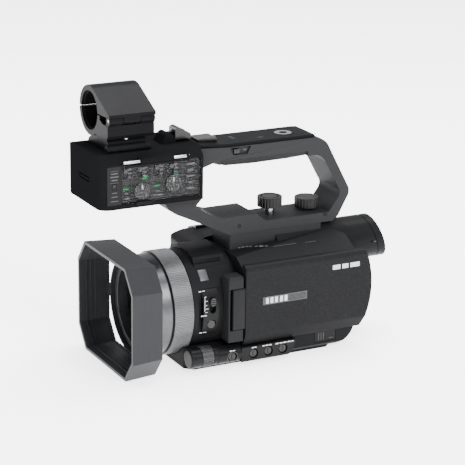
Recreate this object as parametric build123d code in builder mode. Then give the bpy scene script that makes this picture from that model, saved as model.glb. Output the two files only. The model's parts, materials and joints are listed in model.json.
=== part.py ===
"""Compact professional camcorder with a detachable audio handle and microphone holder.

Frame: +X is the operator's left (monitor side), the lens looks along -Y, +Z is up.
The origin is the mouth of the tripod socket on the underside. Millimetres throughout.
"""
from build123d import *
from math import acos, atan2, cos, degrees, radians, sin
import os

os.makedirs("parts", exist_ok=True)

# ---------------------------------------------------------------- driving dimensions
# clearances
gap = 0.3                    # between pieces of different bodies
fit_gap = 0.06               # radial clearance of a pin or shaft that runs in its own hole

# casing
casing_half_width = 39.0     # left outer face behind the monitor
casing_front = -22.0
casing_rear = 73.0
casing_bottom = 2.4          # top of the base plate
casing_top_front = 79.0
casing_top_rear = 86.5
casing_wall = 2.4
grip_out = 68.0              # how far the grip reaches to the right of the optical axis
grip_front = -36.0
grip_top = 82.5
grip_inner = 24.0            # the middle part of the casing reaches this far to the right
rear_cover_depth = 3.0

# optics
lens_z = 42.3                # optical axis height
ring_radius = 38.5
ring_front = -74.6
ring_rear = -59.1
housing_radius = 38.0
barrel_radius = 33.4
barrel_bore = 30.0
front_ring_front = -88.8
filter_radius = 31.0
collar_radius = 35.2         # seat of the hood's collar on the front ring
collar_rear = -84.4
hood_width = 98.0
hood_height = 84.0
hood_front = -112.4
hood_wall = 2.2

# monitor
monitor_inner = casing_half_width + 0.7
monitor_thickness = 6.3
monitor_face = monitor_inner + monitor_thickness
monitor_front = -21.8
monitor_rear = 83.8
monitor_low = 15.5
monitor_high = 76.0
hinge_x = 41.2
hinge_y = -27.6
arm_half = 4.4
arm_low = 29.0
arm_high = 60.0

# viewfinder
finder_x = 4.0
finder_z = 71.9
finder_radius = 16.6
finder_wall = 2.4
finder_end = 109.5           # where the slanted end crosses the finder's axis
finder_tilt = 18.5

# handle and audio unit
handle_half_width = 15.5
handle_base = 91.0
handle_top = 159.3
cover_thickness = 2.5
audio_left = 24.0
audio_right = -38.0
audio_front = -125.0
audio_rear = -46.0
audio_low = 124.0
audio_high = 162.5
audio_wall = 2.2

# microphone holder
mic_x = -18.0
mic_z = 186.5
mic_outer = 18.0
mic_bore = 14.0
mic_front = -115.0
mic_length = 35.5
mic_hinge_x = 13.5
mic_hinge_z = 185.2
mic_pin_radius = 1.2
clamp_foot_z = 171.4         # where the cradle stands on its base
knuckle_radius = 3.2

# threads and fasteners
thread_radius = 3.2          # quarter inch camera thread
thread_depth = 6.0
knob_radius = 9.25
knob_height = 7.5
shank_radius = 3.4


# ---------------------------------------------------------------- shared places
from_base = (Align.CENTER, Align.CENTER, Align.MIN)
from_top = (Align.CENTER, Align.CENTER, Align.MAX)


def front(y):
    """Plane that looks at the lens: local x is X, local y is Z; extruding a negative amount goes to +Y."""
    return Plane(origin=(0, y, 0), x_dir=(1, 0, 0), z_dir=(0, -1, 0))


def side(x):
    """Plane seen from the monitor side: local x is Y, local y is Z; extruding goes to +X."""
    return Plane.YZ.offset(x)


def save(part, name):
    """Label a finished piece and write its STEP file."""
    part.label = name
    export_step(part, "parts/" + name + ".step")


# ---------------------------------------------------------------- casing
def casing_section(inset):
    """Front view of the casing with its grip, each wall moved in by inset."""
    with BuildSketch(front(0)) as section:
        with BuildLine():
            Polyline((-36, casing_bottom), (37, casing_bottom),
                     (casing_half_width, casing_bottom + 2), (casing_half_width, 74),
                     (15.5, 87), (-16, 87), (-34, 84))
            ThreePointArc((-34, 84), (-grip_out, 46), (-36, casing_bottom))
        make_face()
        if inset > 0:
            offset(amount=-inset, mode=Mode.REPLACE)
    return section.sketch_local


def casing_outline(inset):
    """Side view of the casing: the top rises to the rear and the lower rear corner is rounded."""
    with BuildSketch(side(0)) as outline:
        with BuildLine():
            Polyline((56.4, casing_bottom), (casing_front, casing_bottom),
                     (casing_front, casing_top_front), (casing_rear - 10, casing_top_rear),
                     (casing_rear, casing_top_rear - 4), (casing_rear, 13.5))
            ThreePointArc((casing_rear, 13.5), (66, 5), (56.4, casing_bottom))
        make_face()
        if inset > 0:
            offset(amount=-inset, mode=Mode.REPLACE)
    return outline.sketch_local


def grip_outline(inset):
    """Side view of the grip: it starts further forward than the casing, below a rounded brow."""
    with BuildSketch(side(0)) as outline:
        with BuildLine():
            Polyline((56.4, casing_bottom), (grip_front + 14, casing_bottom),
                     (grip_front, casing_bottom + 16), (grip_front, 66))
            ThreePointArc((grip_front, 66), (grip_front + 4, 77), (grip_front + 15, grip_top))
            Polyline((grip_front + 15, grip_top), (casing_rear - 10, casing_top_rear),
                     (casing_rear, casing_top_rear - 4), (casing_rear, 13.5))
            ThreePointArc((casing_rear, 13.5), (66, 5), (56.4, casing_bottom))
        make_face()
        if inset > 0:
            offset(amount=-inset, mode=Mode.REPLACE)
    return outline.sketch_local


def casing_plan(inset):
    """Top view of the casing between the grip and the monitor."""
    with BuildSketch(Plane.XY) as plan:
        with Locations((casing_half_width, casing_front)):
            Rectangle(casing_half_width + grip_inner, casing_rear - casing_front,
                      align=(Align.MAX, Align.MIN))
        if inset > 0:
            offset(amount=-inset, mode=Mode.REPLACE)
    return plan.sketch_local


def grip_plan(inset):
    """Top view of the grip with its rounded nose and heel."""
    with BuildSketch(Plane.XY) as plan:
        with BuildLine():
            Polyline((-14, grip_front), (-14, casing_rear), (-52, casing_rear))
            ThreePointArc((-52, casing_rear), (-64, 68), (-grip_out - 1, 52))
            Line((-grip_out - 1, 52), (-grip_out - 1, -12))
            ThreePointArc((-grip_out - 1, -12), (-62, -29), (-46, grip_front))
            Line((-46, grip_front), (-14, grip_front))
        make_face()
        if inset > 0:
            offset(amount=-inset, mode=Mode.REPLACE)
    return plan.sketch_local


def casing_block(inset):
    """The casing as one solid: the middle and the grip, each cut from the same front view."""
    with BuildPart() as middle:
        with BuildSketch(front(-60)):
            add(casing_section(inset))
        extrude(amount=-160)
        with BuildSketch(side(-90)):
            add(casing_outline(inset))
        extrude(amount=150, mode=Mode.INTERSECT)
        with BuildSketch(Plane.XY):
            add(casing_plan(inset))
        extrude(amount=120, mode=Mode.INTERSECT)
    with BuildPart() as grip:
        with BuildSketch(front(-60)):
            add(casing_section(inset))
        extrude(amount=-160)
        with BuildSketch(side(-90)):
            add(grip_outline(inset))
        extrude(amount=150, mode=Mode.INTERSECT)
        with BuildSketch(Plane.XY):
            add(grip_plan(inset))
        extrude(amount=120, mode=Mode.INTERSECT)
        # the lens housing passes beside the grip's nose
        with Locations(front(casing_front)):
            with Locations((0, lens_z)):
                Cylinder(housing_radius + inset, 60, align=from_base,
                         mode=Mode.SUBTRACT)
    with BuildPart() as block:
        add(middle.part)
        add(grip.part)
    return block.part


finder_plane = Plane(origin=(0, 80, 81), z_dir=(0, 1, 0.52))
bay_low = 16.5
bay_high = 50.0
bush_radius = 6.5
bay_left = 21.0
bay_right = -19.0

with BuildPart() as casing_outer:
    add(casing_block(0))
    with Locations(front(84)):
        with Locations((finder_x, finder_z)):
            Cylinder(finder_radius + 2.0, 66, align=from_base)
    split(bisect_by=finder_plane, keep=Keep.BOTTOM)

with BuildPart() as casing_inner:
    add(casing_block(casing_wall))

with BuildPart() as casing_shell:
    add(casing_outer.part)
    add(casing_inner.part, mode=Mode.SUBTRACT)
    # bore that the viewfinder slides in
    with Locations(front(95)):
        with Locations((finder_x, finder_z)):
            Cylinder(finder_radius + gap, 73, align=from_base, mode=Mode.SUBTRACT)
    # round opening for the lens
    with Locations(front(casing_front + 12)):
        with Locations((0, lens_z)):
            Cylinder(barrel_radius, 30, align=from_base, mode=Mode.SUBTRACT)
    # hole for the tripod bush
    Cylinder(bush_radius, 20, mode=Mode.SUBTRACT)
    # battery bay in the rear wall
    with BuildSketch(front(casing_rear - 6)):
        with Locations(((bay_left + bay_right) / 2, (bay_low + bay_high) / 2)):
            Rectangle(bay_left - bay_right, bay_high - bay_low)
    extrude(amount=-12, mode=Mode.SUBTRACT)

# recesses for the grip's controls and the terminal door
rocker_plane = Plane(origin=(-41.0, -11.0, 81.6), x_dir=(0.947, 0, 0.321), z_dir=(-0.321, 0, 0.947))
rocker_width = 14.0
rocker_length = 24.0
rocker_height = 5.0
record_x = -44.0
record_z = 52.0
record_radius = 7.5
door_front = 40.0
door_rear = 58.0
door_low = 6.0
door_high = 14.8
door_depth = 1.6

with BuildPart() as left_shell:
    add(casing_shell.part)
    split(bisect_by=Plane.YZ, keep=Keep.TOP)
    with BuildSketch(side(casing_half_width - door_depth)):
        with Locations(((door_front + door_rear) / 2, (door_low + door_high) / 2)):
            Rectangle(door_rear - door_front, door_high - door_low)
    extrude(amount=5, mode=Mode.SUBTRACT)

with BuildPart() as right_shell:
    add(casing_shell.part)
    split(bisect_by=Plane.YZ, keep=Keep.BOTTOM)
    with BuildSketch(rocker_plane):
        Rectangle(rocker_width + 2 * gap, rocker_length + 3 * gap)
    extrude(amount=8, both=True, mode=Mode.SUBTRACT)
    with Locations(front(casing_rear - 6)):
        with Locations((record_x, record_z)):
            Cylinder(record_radius + gap, 12, align=from_top, mode=Mode.SUBTRACT)

save(left_shell.part, "left_shell")
save(right_shell.part, "right_shell")

# base plate with the tripod bush
cradle_front = -64.0
base_rear = 56.0

with BuildPart() as base_plate:
    with BuildSketch(Plane.XY):
        with BuildLine():
            Polyline((-34, cradle_front + 6), (-28, cradle_front), (30, cradle_front), (36, cradle_front + 6),
                     (36, base_rear - 4), (32, base_rear), (-30, base_rear), (-34, base_rear - 4), close=True)
        make_face()
        Circle(bush_radius, mode=Mode.SUBTRACT)
    extrude(amount=casing_bottom)
    with Locations((0, 18, 0)):
        Cylinder(2.2, casing_bottom, align=from_base, mode=Mode.SUBTRACT)
save(base_plate.part, "base_plate")

with BuildPart() as tripod_bush:
    Cylinder(bush_radius, thread_depth + 1.5, align=from_base)
    Cylinder(thread_radius, thread_depth, align=from_base, mode=Mode.SUBTRACT)

# cradle that carries the barrel housing and the dial pod
pod_front = -64.5
pod_x = 38.6
pod_z = 10.4
pod_radius = 7.4
wheel_front = -55.4
wheel_rear = -46.8
with BuildPart() as lens_cradle:
    with BuildSketch(Plane.XY.offset(casing_bottom)):
        with BuildLine():
            Polyline((-34, cradle_front + 6), (-28, cradle_front), (30, cradle_front), (38, cradle_front + 3),
                     (38, casing_front), (-34, casing_front), close=True)
        make_face()
    extrude(amount=14)
    # bay for the dial wheel
    with BuildSketch(front(wheel_rear + gap)):
        with Locations((pod_x, pod_z)):
            Circle(pod_radius + 0.7)
    extrude(amount=wheel_rear - wheel_front + 2 * gap, mode=Mode.SUBTRACT)
    with Locations(front(casing_front)):
        with Locations((0, lens_z)):
            Cylinder(ring_radius + gap, 60, align=from_base, mode=Mode.SUBTRACT)
    add(casing_outer.part, mode=Mode.SUBTRACT)
save(lens_cradle.part, "lens_cradle")

# rear cover around the battery bay
with BuildPart() as rear_cover:
    with BuildSketch(front(casing_rear)):
        with BuildLine():
            Polyline((-50, 14), (34, 14), (36, 16), (36, 52.6), (-56, 52.6), (-56, 18), close=True)
        make_face()
        with Locations(((bay_left + bay_right) / 2, (bay_low + bay_high) / 2)):
            Rectangle(bay_left - bay_right, bay_high - bay_low, mode=Mode.SUBTRACT)
        with Locations((record_x, record_z)):
            Circle(record_radius + gap, mode=Mode.SUBTRACT)
    extrude(amount=-rear_cover_depth)
save(rear_cover.part, "rear_cover")

with BuildPart() as battery_pack:
    with BuildSketch(front(casing_rear - 2.0)):
        with Locations(((bay_left + bay_right) / 2, (bay_low + bay_high) / 2)):
            RectangleRounded(bay_left - bay_right - 1.0, bay_high - bay_low - 1.0, 3)
    extrude(amount=-26)
    chamfer(battery_pack.faces().sort_by(Axis.Y)[-1].edges(), 1.2)
save(battery_pack.part, "battery_pack")

# platform that carries the handle's shoe
platform_front = -19.5
platform_rear = 57.0
with BuildPart() as top_platform:
    with BuildSketch(Plane.XY.offset(74)):
        with Locations((0.5, (platform_front + platform_rear) / 2)):
            RectangleRounded(2 * handle_half_width - 1, platform_rear - platform_front, 1.5)
    extrude(amount=handle_base - 74)
    add(casing_outer.part, mode=Mode.SUBTRACT)
save(top_platform.part, "top_platform")


# ---------------------------------------------------------------- optics
housing_front = -58.8
hinge_block_inner = 34.0
hinge_block_face = 45.3
hinge_block_front = -35.3
hinge_block_rear = -23.6
panel_front = -55.5
panel_rear = -39.5
panel_low = 24.5
panel_high = 61.5
slot_y = -44.5
slot_low = 42.0
slot_high = 54.0
slot_width = 5.0
button_y = -45.2
button_z = 33.5

with BuildPart() as front_housing:
    with Locations(front(casing_front)):
        with Locations((0, lens_z)):
            Cylinder(housing_radius, casing_front - housing_front, align=from_base)
    # raised shoulder on top with its straight rail
    with BuildSketch(front(-27)):
        with BuildLine():
            Polyline((-23, 68), (-17, 79.5), (-8, 82.4), (9, 82.4), (19, 79.5), (25.5, 68), close=True)
        make_face()
    extrude(amount=25)
    with BuildSketch(Plane.XY.offset(74)):
        with Locations((21, -41)):
            Rectangle(1.2, 21)
    extrude(amount=8, mode=Mode.SUBTRACT)
    with Locations(front(casing_front)):
        with Locations((0, lens_z)):
            Cylinder(barrel_radius, 60, align=from_base, mode=Mode.SUBTRACT)
    # room for the switch panel, the hinge block and the cradle below
    with BuildSketch(side(hinge_block_inner + 0.4)):
        with Locations(((panel_front + panel_rear) / 2, (panel_low + panel_high) / 2)):
            Rectangle(panel_rear - panel_front, panel_high - panel_low)
    extrude(amount=10, mode=Mode.SUBTRACT)
    with BuildSketch(side(hinge_block_inner)):
        with Locations(((hinge_block_front + casing_front) / 2, 44)):
            Rectangle(casing_front - hinge_block_front, 52)
    extrude(amount=20, mode=Mode.SUBTRACT)
    add(lens_cradle.part, mode=Mode.SUBTRACT)
    add(casing_outer.part, mode=Mode.SUBTRACT)
save(front_housing.part, "front_housing")

with BuildPart() as lens_barrel:
    with Locations(front(-16)):
        with Locations((0, lens_z)):
            Cylinder(barrel_radius, -16 - ring_front + gap, align=from_base)
            Cylinder(barrel_bore, 80, align=from_base, mode=Mode.SUBTRACT)
save(lens_barrel.part, "lens_barrel")

# ribbed ring: the ribs are shallow grooves cut all round
rib_count = 180
with BuildPart() as manual_ring:
    with BuildSketch(front(ring_rear - gap)):
        with Locations((0, lens_z)):
            Circle(ring_radius)
            Circle(barrel_radius + gap, mode=Mode.SUBTRACT)
            with PolarLocations(ring_radius, rib_count):
                Rectangle(0.8, 0.62, mode=Mode.SUBTRACT)
    extrude(amount=ring_rear - ring_front - 2 * gap)
    with BuildSketch(front(ring_rear - gap)):
        with Locations((0, lens_z)):
            Circle(ring_radius - 0.5)
            Circle(barrel_radius + gap, mode=Mode.SUBTRACT)
    extrude(amount=1.2)
    with BuildSketch(front(ring_front + gap + 1.2)):
        with Locations((0, lens_z)):
            Circle(ring_radius - 0.5)
            Circle(barrel_radius + gap, mode=Mode.SUBTRACT)
    extrude(amount=1.2)
save(manual_ring.part, "manual_ring")

# front filter ring: a brushed band at the back, a narrower dark band in front
with BuildPart() as front_ring:
    with BuildSketch(Plane(origin=(0, 0, lens_z), x_dir=(1, 0, 0), z_dir=(0, 0, 1))):
        with BuildLine():
            Polyline((filter_radius, front_ring_front), (collar_radius, front_ring_front),
                     (collar_radius, collar_rear), (36.6, collar_rear + 0.8), (37.4, -76),
                     (36.8, ring_front - gap), (barrel_bore, ring_front - gap),
                     (barrel_bore, -79.6), (filter_radius, -80.2), close=True)
        make_face()
    revolve(axis=Axis((0, 0, lens_z), (0, 1, 0)))
save(front_ring.part, "front_ring")

with BuildPart() as front_lens:
    with BuildSketch(Plane(origin=(0, 0, lens_z), x_dir=(1, 0, 0), z_dir=(0, 0, 1))):
        with BuildLine():
            Line((0, -72), (0, -79.5))
            ThreePointArc((0, -79.5), (14, -78.4), (26, -75.4))
            Polyline((26, -75.4), (29.8, -75.4), (29.8, -72), (0, -72))
        make_face()
    revolve(axis=Axis((0, 0, lens_z), (0, 1, 0)))
save(front_lens.part, "front_lens")

with BuildPart() as rear_lens_group:
    with Locations(front(-30)):
        with Locations((0, lens_z)):
            Cylinder(barrel_bore, 6, align=from_base)
            Cylinder(15, 9, align=(Align.CENTER, Align.CENTER, Align.CENTER))
save(rear_lens_group.part, "rear_lens_group")

with BuildPart() as image_sensor:
    with BuildSketch(front(-4)):
        with Locations((0, lens_z - 6)):
            Rectangle(34, 28)
    extrude(amount=1.6)
    with BuildSketch(front(-5.6)):
        with Locations((0, lens_z - 6)):
            Rectangle(18, 13)
    extrude(amount=1.5)

with BuildPart() as main_board:
    with BuildSketch(side(26)):
        with Locations((26, 28)):
            Rectangle(64, 36)
    extrude(amount=1.6)
    with BuildSketch(side(27.6)):
        with Locations((14, 28)):
            with GridLocations(22, 16, 2, 2):
                Rectangle(12, 10)
    extrude(amount=1.4)

with BuildPart() as circuit_boards:
    add(main_board.part)
    add(image_sensor.part)
save(circuit_boards.part, "circuit_boards")

# octagonal hood: corners cut long and low, ribs inside the mouth, and a web to the collar with four
# corner windows
hood_rear = front_ring_front
hood_cut_x = 12.7
hood_cut_z = 16.2
hood_taper = 1.3
web_thickness = 2.0


def octagon(half_x, half_z, cut_x, cut_z):
    """Corner points of a rectangle with its corners cut off, centred on the optical axis."""
    quarter = [(half_x, half_z - cut_z), (half_x - cut_x, half_z)]
    points = quarter + [(-x, z) for x, z in reversed(quarter)]
    points = points + [(x, -z) for x, z in reversed(points)]
    return [(x, z + lens_z) for x, z in points]


def hood_points(inset):
    """Corner points of the hood's outline, moved in by inset."""
    return octagon(hood_width / 2 - inset, hood_height / 2 - inset,
                   hood_cut_x - 0.3 * inset, hood_cut_z - 0.3 * inset)


with BuildPart() as lens_hood:
    with BuildSketch(front(hood_front)):
        Polygon(*hood_points(0), align=None)
    with BuildSketch(front(hood_rear)):
        Polygon(*hood_points(hood_taper), align=None)
    loft(ruled=True)
    with BuildSketch(front(hood_front)):
        Polygon(*hood_points(hood_wall), align=None)
    with BuildSketch(front(hood_rear - web_thickness)):
        Polygon(*hood_points(hood_taper + hood_wall), align=None)
    loft(ruled=True, mode=Mode.SUBTRACT)
    # stepped light traps behind the mouth
    for step in range(4):
        with BuildSketch(front(hood_front + 6.2 + 3.6 * step)):
            Polygon(*hood_points(hood_wall - 0.4), align=None)
            Polygon(*hood_points(hood_wall + 0.9), align=None, mode=Mode.SUBTRACT)
        extrude(amount=0.9)
    # corner windows between the collar and the outer wall
    with BuildSketch(front(hood_rear - web_thickness)):
        Polygon(*hood_points(hood_taper + hood_wall + 0.6), align=None)
        with Locations((0, lens_z)):
            Circle(37.4, mode=Mode.SUBTRACT)
            Rectangle(hood_width, 9, mode=Mode.SUBTRACT)
    extrude(amount=-5, mode=Mode.SUBTRACT)
    # collar that locks on the front ring
    with Locations(front(collar_rear - gap)):
        with Locations((0, lens_z)):
            Cylinder(collar_radius + 1.7, 7.4, align=from_base)
            Cylinder(collar_radius, 30, align=from_base, mode=Mode.SUBTRACT)
save(lens_hood.part, "lens_hood")

# switch panel on the barrel's left side
with BuildPart() as switch_panel:
    with BuildSketch(side(hinge_block_inner + 0.4)):
        with Locations(((panel_front + panel_rear) / 2, (panel_low + panel_high) / 2)):
            Rectangle(panel_rear - panel_front - 0.4, panel_high - panel_low - 0.4)
    extrude(amount=10)
    with Locations(front(casing_front)):
        with Locations((0, lens_z)):
            Cylinder(housing_radius + 0.5, 60, mode=Mode.INTERSECT)
            Cylinder(barrel_radius, 60, mode=Mode.SUBTRACT)
    with BuildSketch(side(30)):
        with Locations((slot_y, (slot_low + slot_high) / 2)):
            SlotOverall(slot_high - slot_low, slot_width, rotation=90)
        with Locations((button_y, button_z)):
            Circle(3.6)
    extrude(amount=12, mode=Mode.SUBTRACT)
save(switch_panel.part, "switch_panel")

with BuildPart() as focus_selector:
    with BuildSketch(side(34.6)):
        with Locations((slot_y, slot_high - 3.4)):
            SlotOverall(6.2, slot_width - 2 * gap, rotation=90)
    extrude(amount=4.6)
    with BuildSketch(side(38.4)):
        with Locations((slot_y, slot_high - 3.4)):
            with GridLocations(slot_width, 1.5, 1, 3):
                Rectangle(slot_width, 0.5)
    extrude(amount=2, mode=Mode.SUBTRACT)
save(focus_selector.part, "focus_selector")

with BuildPart() as focus_button:
    with BuildSketch(side(35.6)):
        with Locations((button_y, button_z)):
            Circle(3.6 - gap)
    extrude(amount=2.0)
    fillet(focus_button.faces().sort_by(Axis.X)[-1].edges(), 0.6)
save(focus_button.part, "focus_button")


# ---------------------------------------------------------------- monitor
pocket_radius = 6.6
hinge_z = 44.5
hinge_height = 49.0
hinge_pin_radius = 2.0
with BuildPart() as hinge_block:
    with BuildSketch(side(hinge_block_inner)):
        with Locations(((hinge_block_front + hinge_block_rear) / 2, hinge_z)):
            Rectangle(hinge_block_rear - hinge_block_front, hinge_height)
    extrude(amount=hinge_block_face - hinge_block_inner)
    fillet(hinge_block.edges().filter_by(Axis.Z).group_by(Axis.Y)[0].sort_by(Axis.X)[-1], 1.2)
    fillet(hinge_block.faces().sort_by(Axis.Z)[-1].edges().filter_by(Axis.Y).sort_by(Axis.X)[-1], 2.5)
    with BuildSketch(Plane.XY.offset(arm_low - gap)):
        with Locations((hinge_x, hinge_y)):
            Circle(pocket_radius)
            Rectangle(20, 20, align=(Align.MIN, Align.MIN))
            Rectangle(20, pocket_radius, align=(Align.MIN, Align.MAX))
            Rectangle(pocket_radius, 20, align=(Align.MAX, Align.MIN))
    extrude(amount=arm_high - arm_low + 2 * gap, mode=Mode.SUBTRACT)
    with Locations((hinge_x, hinge_y, hinge_z)):
        Cylinder(hinge_pin_radius, hinge_height - 3, mode=Mode.SUBTRACT)
save(hinge_block.part, "hinge_block")

with BuildPart() as hinge_pin:
    with Locations((hinge_x, hinge_y, hinge_z)):
        Cylinder(hinge_pin_radius, hinge_height - 3.1)

with BuildPart() as hinge_arm:
    with BuildSketch(Plane.XY.offset(arm_low)):
        with Locations((hinge_x, hinge_y)):
            Circle(arm_half)
            Rectangle(arm_half, arm_half, align=(Align.MIN, Align.MAX))
        with BuildLine():
            Polyline((hinge_x - 1.5, hinge_y), (hinge_x + arm_half, hinge_y),
                     (hinge_x + arm_half, monitor_front), (hinge_x - 1.5, monitor_front), close=True)
        make_face()
        with Locations((hinge_x, hinge_y)):
            Circle(hinge_pin_radius + fit_gap, mode=Mode.SUBTRACT)
    extrude(amount=arm_high - arm_low)
save(hinge_arm.part, "monitor_arm")

monitor_rim = 2.6
pocket_rear = 77.0
pocket_height = 50.0
pocket_z = 45.5


def monitor_section():
    """Cross-section of the monitor: rounded upper edge and a bevel below."""
    with BuildSketch(front(0)) as section:
        with BuildLine():
            Polyline((monitor_inner, monitor_high), (monitor_inner, monitor_low),
                     (monitor_inner + 2.5, monitor_low), (monitor_face, 24),
                     (monitor_face, monitor_high - 4.5))
            ThreePointArc((monitor_face, monitor_high - 4.5), (monitor_face - 1.2, monitor_high - 1.3),
                          (monitor_face - 4.2, monitor_high))
            Line((monitor_face - 4.2, monitor_high), (monitor_inner, monitor_high))
        make_face()
    return section.sketch_local


def monitor_outline():
    """Side view of the monitor with its bowed rear edge."""
    with BuildSketch(side(0)) as outline:
        with BuildLine():
            Polyline((76.0, monitor_low - 1), (monitor_front, monitor_low - 1),
                     (monitor_front, monitor_high + 1), (77.5, monitor_high + 1))
            ThreePointArc((77.5, monitor_high + 1), (monitor_rear, 48.3), (79.0, 23.5))
            Line((79.0, 23.5), (76.0, monitor_low - 1))
        make_face()
    return outline.sketch_local


with BuildPart() as monitor_cover:
    with BuildSketch(front(monitor_front - 5)):
        add(monitor_section())
    extrude(amount=-120)
    with BuildSketch(side(30)):
        add(monitor_outline())
    extrude(amount=30, mode=Mode.INTERSECT)
    # pocket for the bezel and the screen
    with BuildSketch(side(monitor_inner - 1)):
        with Locations(((monitor_front + pocket_rear) / 2, pocket_z)):
            Rectangle(pocket_rear - monitor_front - 2 * monitor_rim, pocket_height)
    extrude(amount=4.6, mode=Mode.SUBTRACT)
save(monitor_cover.part, "monitor_cover")

screen_length = 78.0
screen_height = 43.0
screen_y = 29.0
screen_z = 46.0
with BuildPart() as monitor_bezel:
    with BuildSketch(side(monitor_inner)):
        with Locations(((monitor_front + pocket_rear) / 2, pocket_z)):
            Rectangle(pocket_rear - monitor_front - 2 * monitor_rim, pocket_height)
        with Locations((screen_y, screen_z)):
            Rectangle(screen_length, screen_height, mode=Mode.SUBTRACT)
    extrude(amount=3.6)
save(monitor_bezel.part, "monitor_bezel")

with BuildPart() as monitor_screen:
    with BuildSketch(side(monitor_inner + 0.6)):
        with Locations((screen_y, screen_z)):
            Rectangle(screen_length, screen_height)
    extrude(amount=3.0)
save(monitor_screen.part, "monitor_screen")


# ---------------------------------------------------------------- lower left controls
deck_face = 46.0
deck_low = 3.5
deck_high = 14.9
deck_front = -24.5
deck_buttons = [(-14.7, 9.0), (-2.6, 9.0), (9.5, 9.0)]
drum_z = 9.8
drum_x = 39.4
drum_radius = 6.6
drum_button_y = -32.0
recess_radius = 3.6
axle_radius = 2.0

with BuildPart() as control_deck:
    with BuildSketch(side(casing_half_width)):
        with BuildLine():
            Polyline((deck_front, deck_low), (13.6, deck_low), (17.7, 5.8), (20, deck_high),
                     (deck_front, deck_high), close=True)
        make_face()
    extrude(amount=deck_face - casing_half_width)
    fillet(control_deck.edges().filter_by(Axis.Y).sort_by(Axis.X)[-2:], 0.8)
    with BuildSketch(side(deck_face - 3.6)):
        with Locations(*deck_buttons):
            Circle(recess_radius)
    extrude(amount=6, mode=Mode.SUBTRACT)
save(control_deck.part, "control_deck")

with BuildPart() as control_drum:
    with BuildSketch(front(deck_front)):
        with Locations((drum_x, drum_z)):
            Circle(drum_radius)
        with Locations((38.2, 3.4)):
            Rectangle(5, 13, align=(Align.CENTER, Align.MIN))
    extrude(amount=18.3)
    with Locations((deck_face, drum_button_y, drum_z - 0.8)):
        Cylinder(recess_radius, 7.2, rotation=(0, 90, 0), mode=Mode.SUBTRACT)
    add(lens_cradle.part, mode=Mode.SUBTRACT)

with BuildPart() as dial_pod:
    with BuildSketch(front(-43.0)):
        with Locations((pod_x, pod_z)):
            Circle(pod_radius)
    extrude(amount=-pod_front - 43.0)
    fillet(dial_pod.faces().sort_by(Axis.Y)[0].edges(), 1.6)
    with Locations(front(wheel_rear + gap)):
        with Locations((pod_x, pod_z)):
            Cylinder(30, wheel_rear - wheel_front + 2 * gap, align=from_base,
                     mode=Mode.SUBTRACT)
            Cylinder(axle_radius, wheel_rear - wheel_front + 2 * gap, align=from_base)
    add(lens_cradle.part, mode=Mode.SUBTRACT)
    add(control_drum.part)
save(dial_pod.part, "dial_pod")

with BuildPart() as dial_wheel:
    with BuildSketch(front(wheel_rear)):
        with Locations((pod_x, pod_z)):
            Circle(pod_radius + 0.2)
            with PolarLocations(pod_radius + 0.2, 32):
                Rectangle(0.9, 0.7, mode=Mode.SUBTRACT)
            Circle(axle_radius + fit_gap, mode=Mode.SUBTRACT)
    extrude(amount=wheel_rear - wheel_front)
save(dial_wheel.part, "dial_wheel")


def push_button(face_x, y, z):
    """Round button with a dished face, standing in its recess."""
    with BuildPart() as button:
        with BuildSketch(side(face_x - 2.4)):
            with Locations((y, z)):
                Circle(recess_radius - gap - 0.3)
        extrude(amount=1.6)
        fillet(button.faces().sort_by(Axis.X)[-1].edges(), 0.4)
    return button.part


button_places = [(deck_face, y, z) for y, z in deck_buttons] + [(deck_face, drum_button_y, drum_z - 0.8)]
for number, place in enumerate(button_places, start=1):
    save(push_button(*place), "deck_button_" + str(number))

with BuildPart() as terminal_door:
    with BuildSketch(side(casing_half_width - door_depth + 0.1)):
        with Locations(((door_front + door_rear) / 2, (door_low + door_high) / 2)):
            Rectangle(door_rear - door_front - 2 * gap, door_high - door_low - 2 * gap)
    extrude(amount=door_depth - 0.1)
save(terminal_door.part, "terminal_door")


# ---------------------------------------------------------------- viewfinder
cap_depth = 6.0
finder_inside = 50.0
end_plane = Plane(origin=(finder_x, finder_end, finder_z), x_dir=(1, 0, 0),
                  z_dir=(0, cos(radians(finder_tilt)), sin(radians(finder_tilt))))
seam_plane = end_plane.offset(-cap_depth)

with BuildPart() as finder_blank:
    with BuildSketch(front(130)):
        with Locations((finder_x, finder_z)):
            Circle(finder_radius)
            Circle(finder_radius - finder_wall, mode=Mode.SUBTRACT)
    extrude(amount=130 - finder_inside)

with BuildPart() as finder_barrel:
    add(finder_blank.part)
    split(bisect_by=seam_plane.offset(-0.35), keep=Keep.BOTTOM)
    with BuildSketch(front(finder_inside + 2)):
        with Locations((finder_x, finder_z)):
            Circle(finder_radius - finder_wall)
    extrude(amount=2)
save(finder_barrel.part, "viewfinder_barrel")

with BuildPart() as finder_cap:
    add(finder_blank.part)
    with BuildSketch(front(finder_end + 1)):
        with Locations((finder_x, finder_z)):
            Circle(finder_radius - 0.8)
            Circle(finder_radius - finder_wall - 2.4, mode=Mode.SUBTRACT)
    extrude(amount=14)
    split(bisect_by=seam_plane, keep=Keep.TOP)
    split(bisect_by=end_plane, keep=Keep.BOTTOM)
save(finder_cap.part, "viewfinder_cap")

with BuildPart() as finder_lens:
    with Locations(front(95.5)):
        with Locations((finder_x, finder_z)):
            Cylinder(finder_radius - finder_wall, 4, align=from_base)
save(finder_lens.part, "viewfinder_lens")


# ---------------------------------------------------------------- handle
screw_places = [(21.0, 104.5), (52.5, 100.2)]
floor_z = 98.4
insert_y = 31.0
slide_y = -11.9
slide_z = 155.0
grip_belly = 141.5
rocker_y = -34.0
rocker_across = 13.0
rocker_along = 15.0

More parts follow.
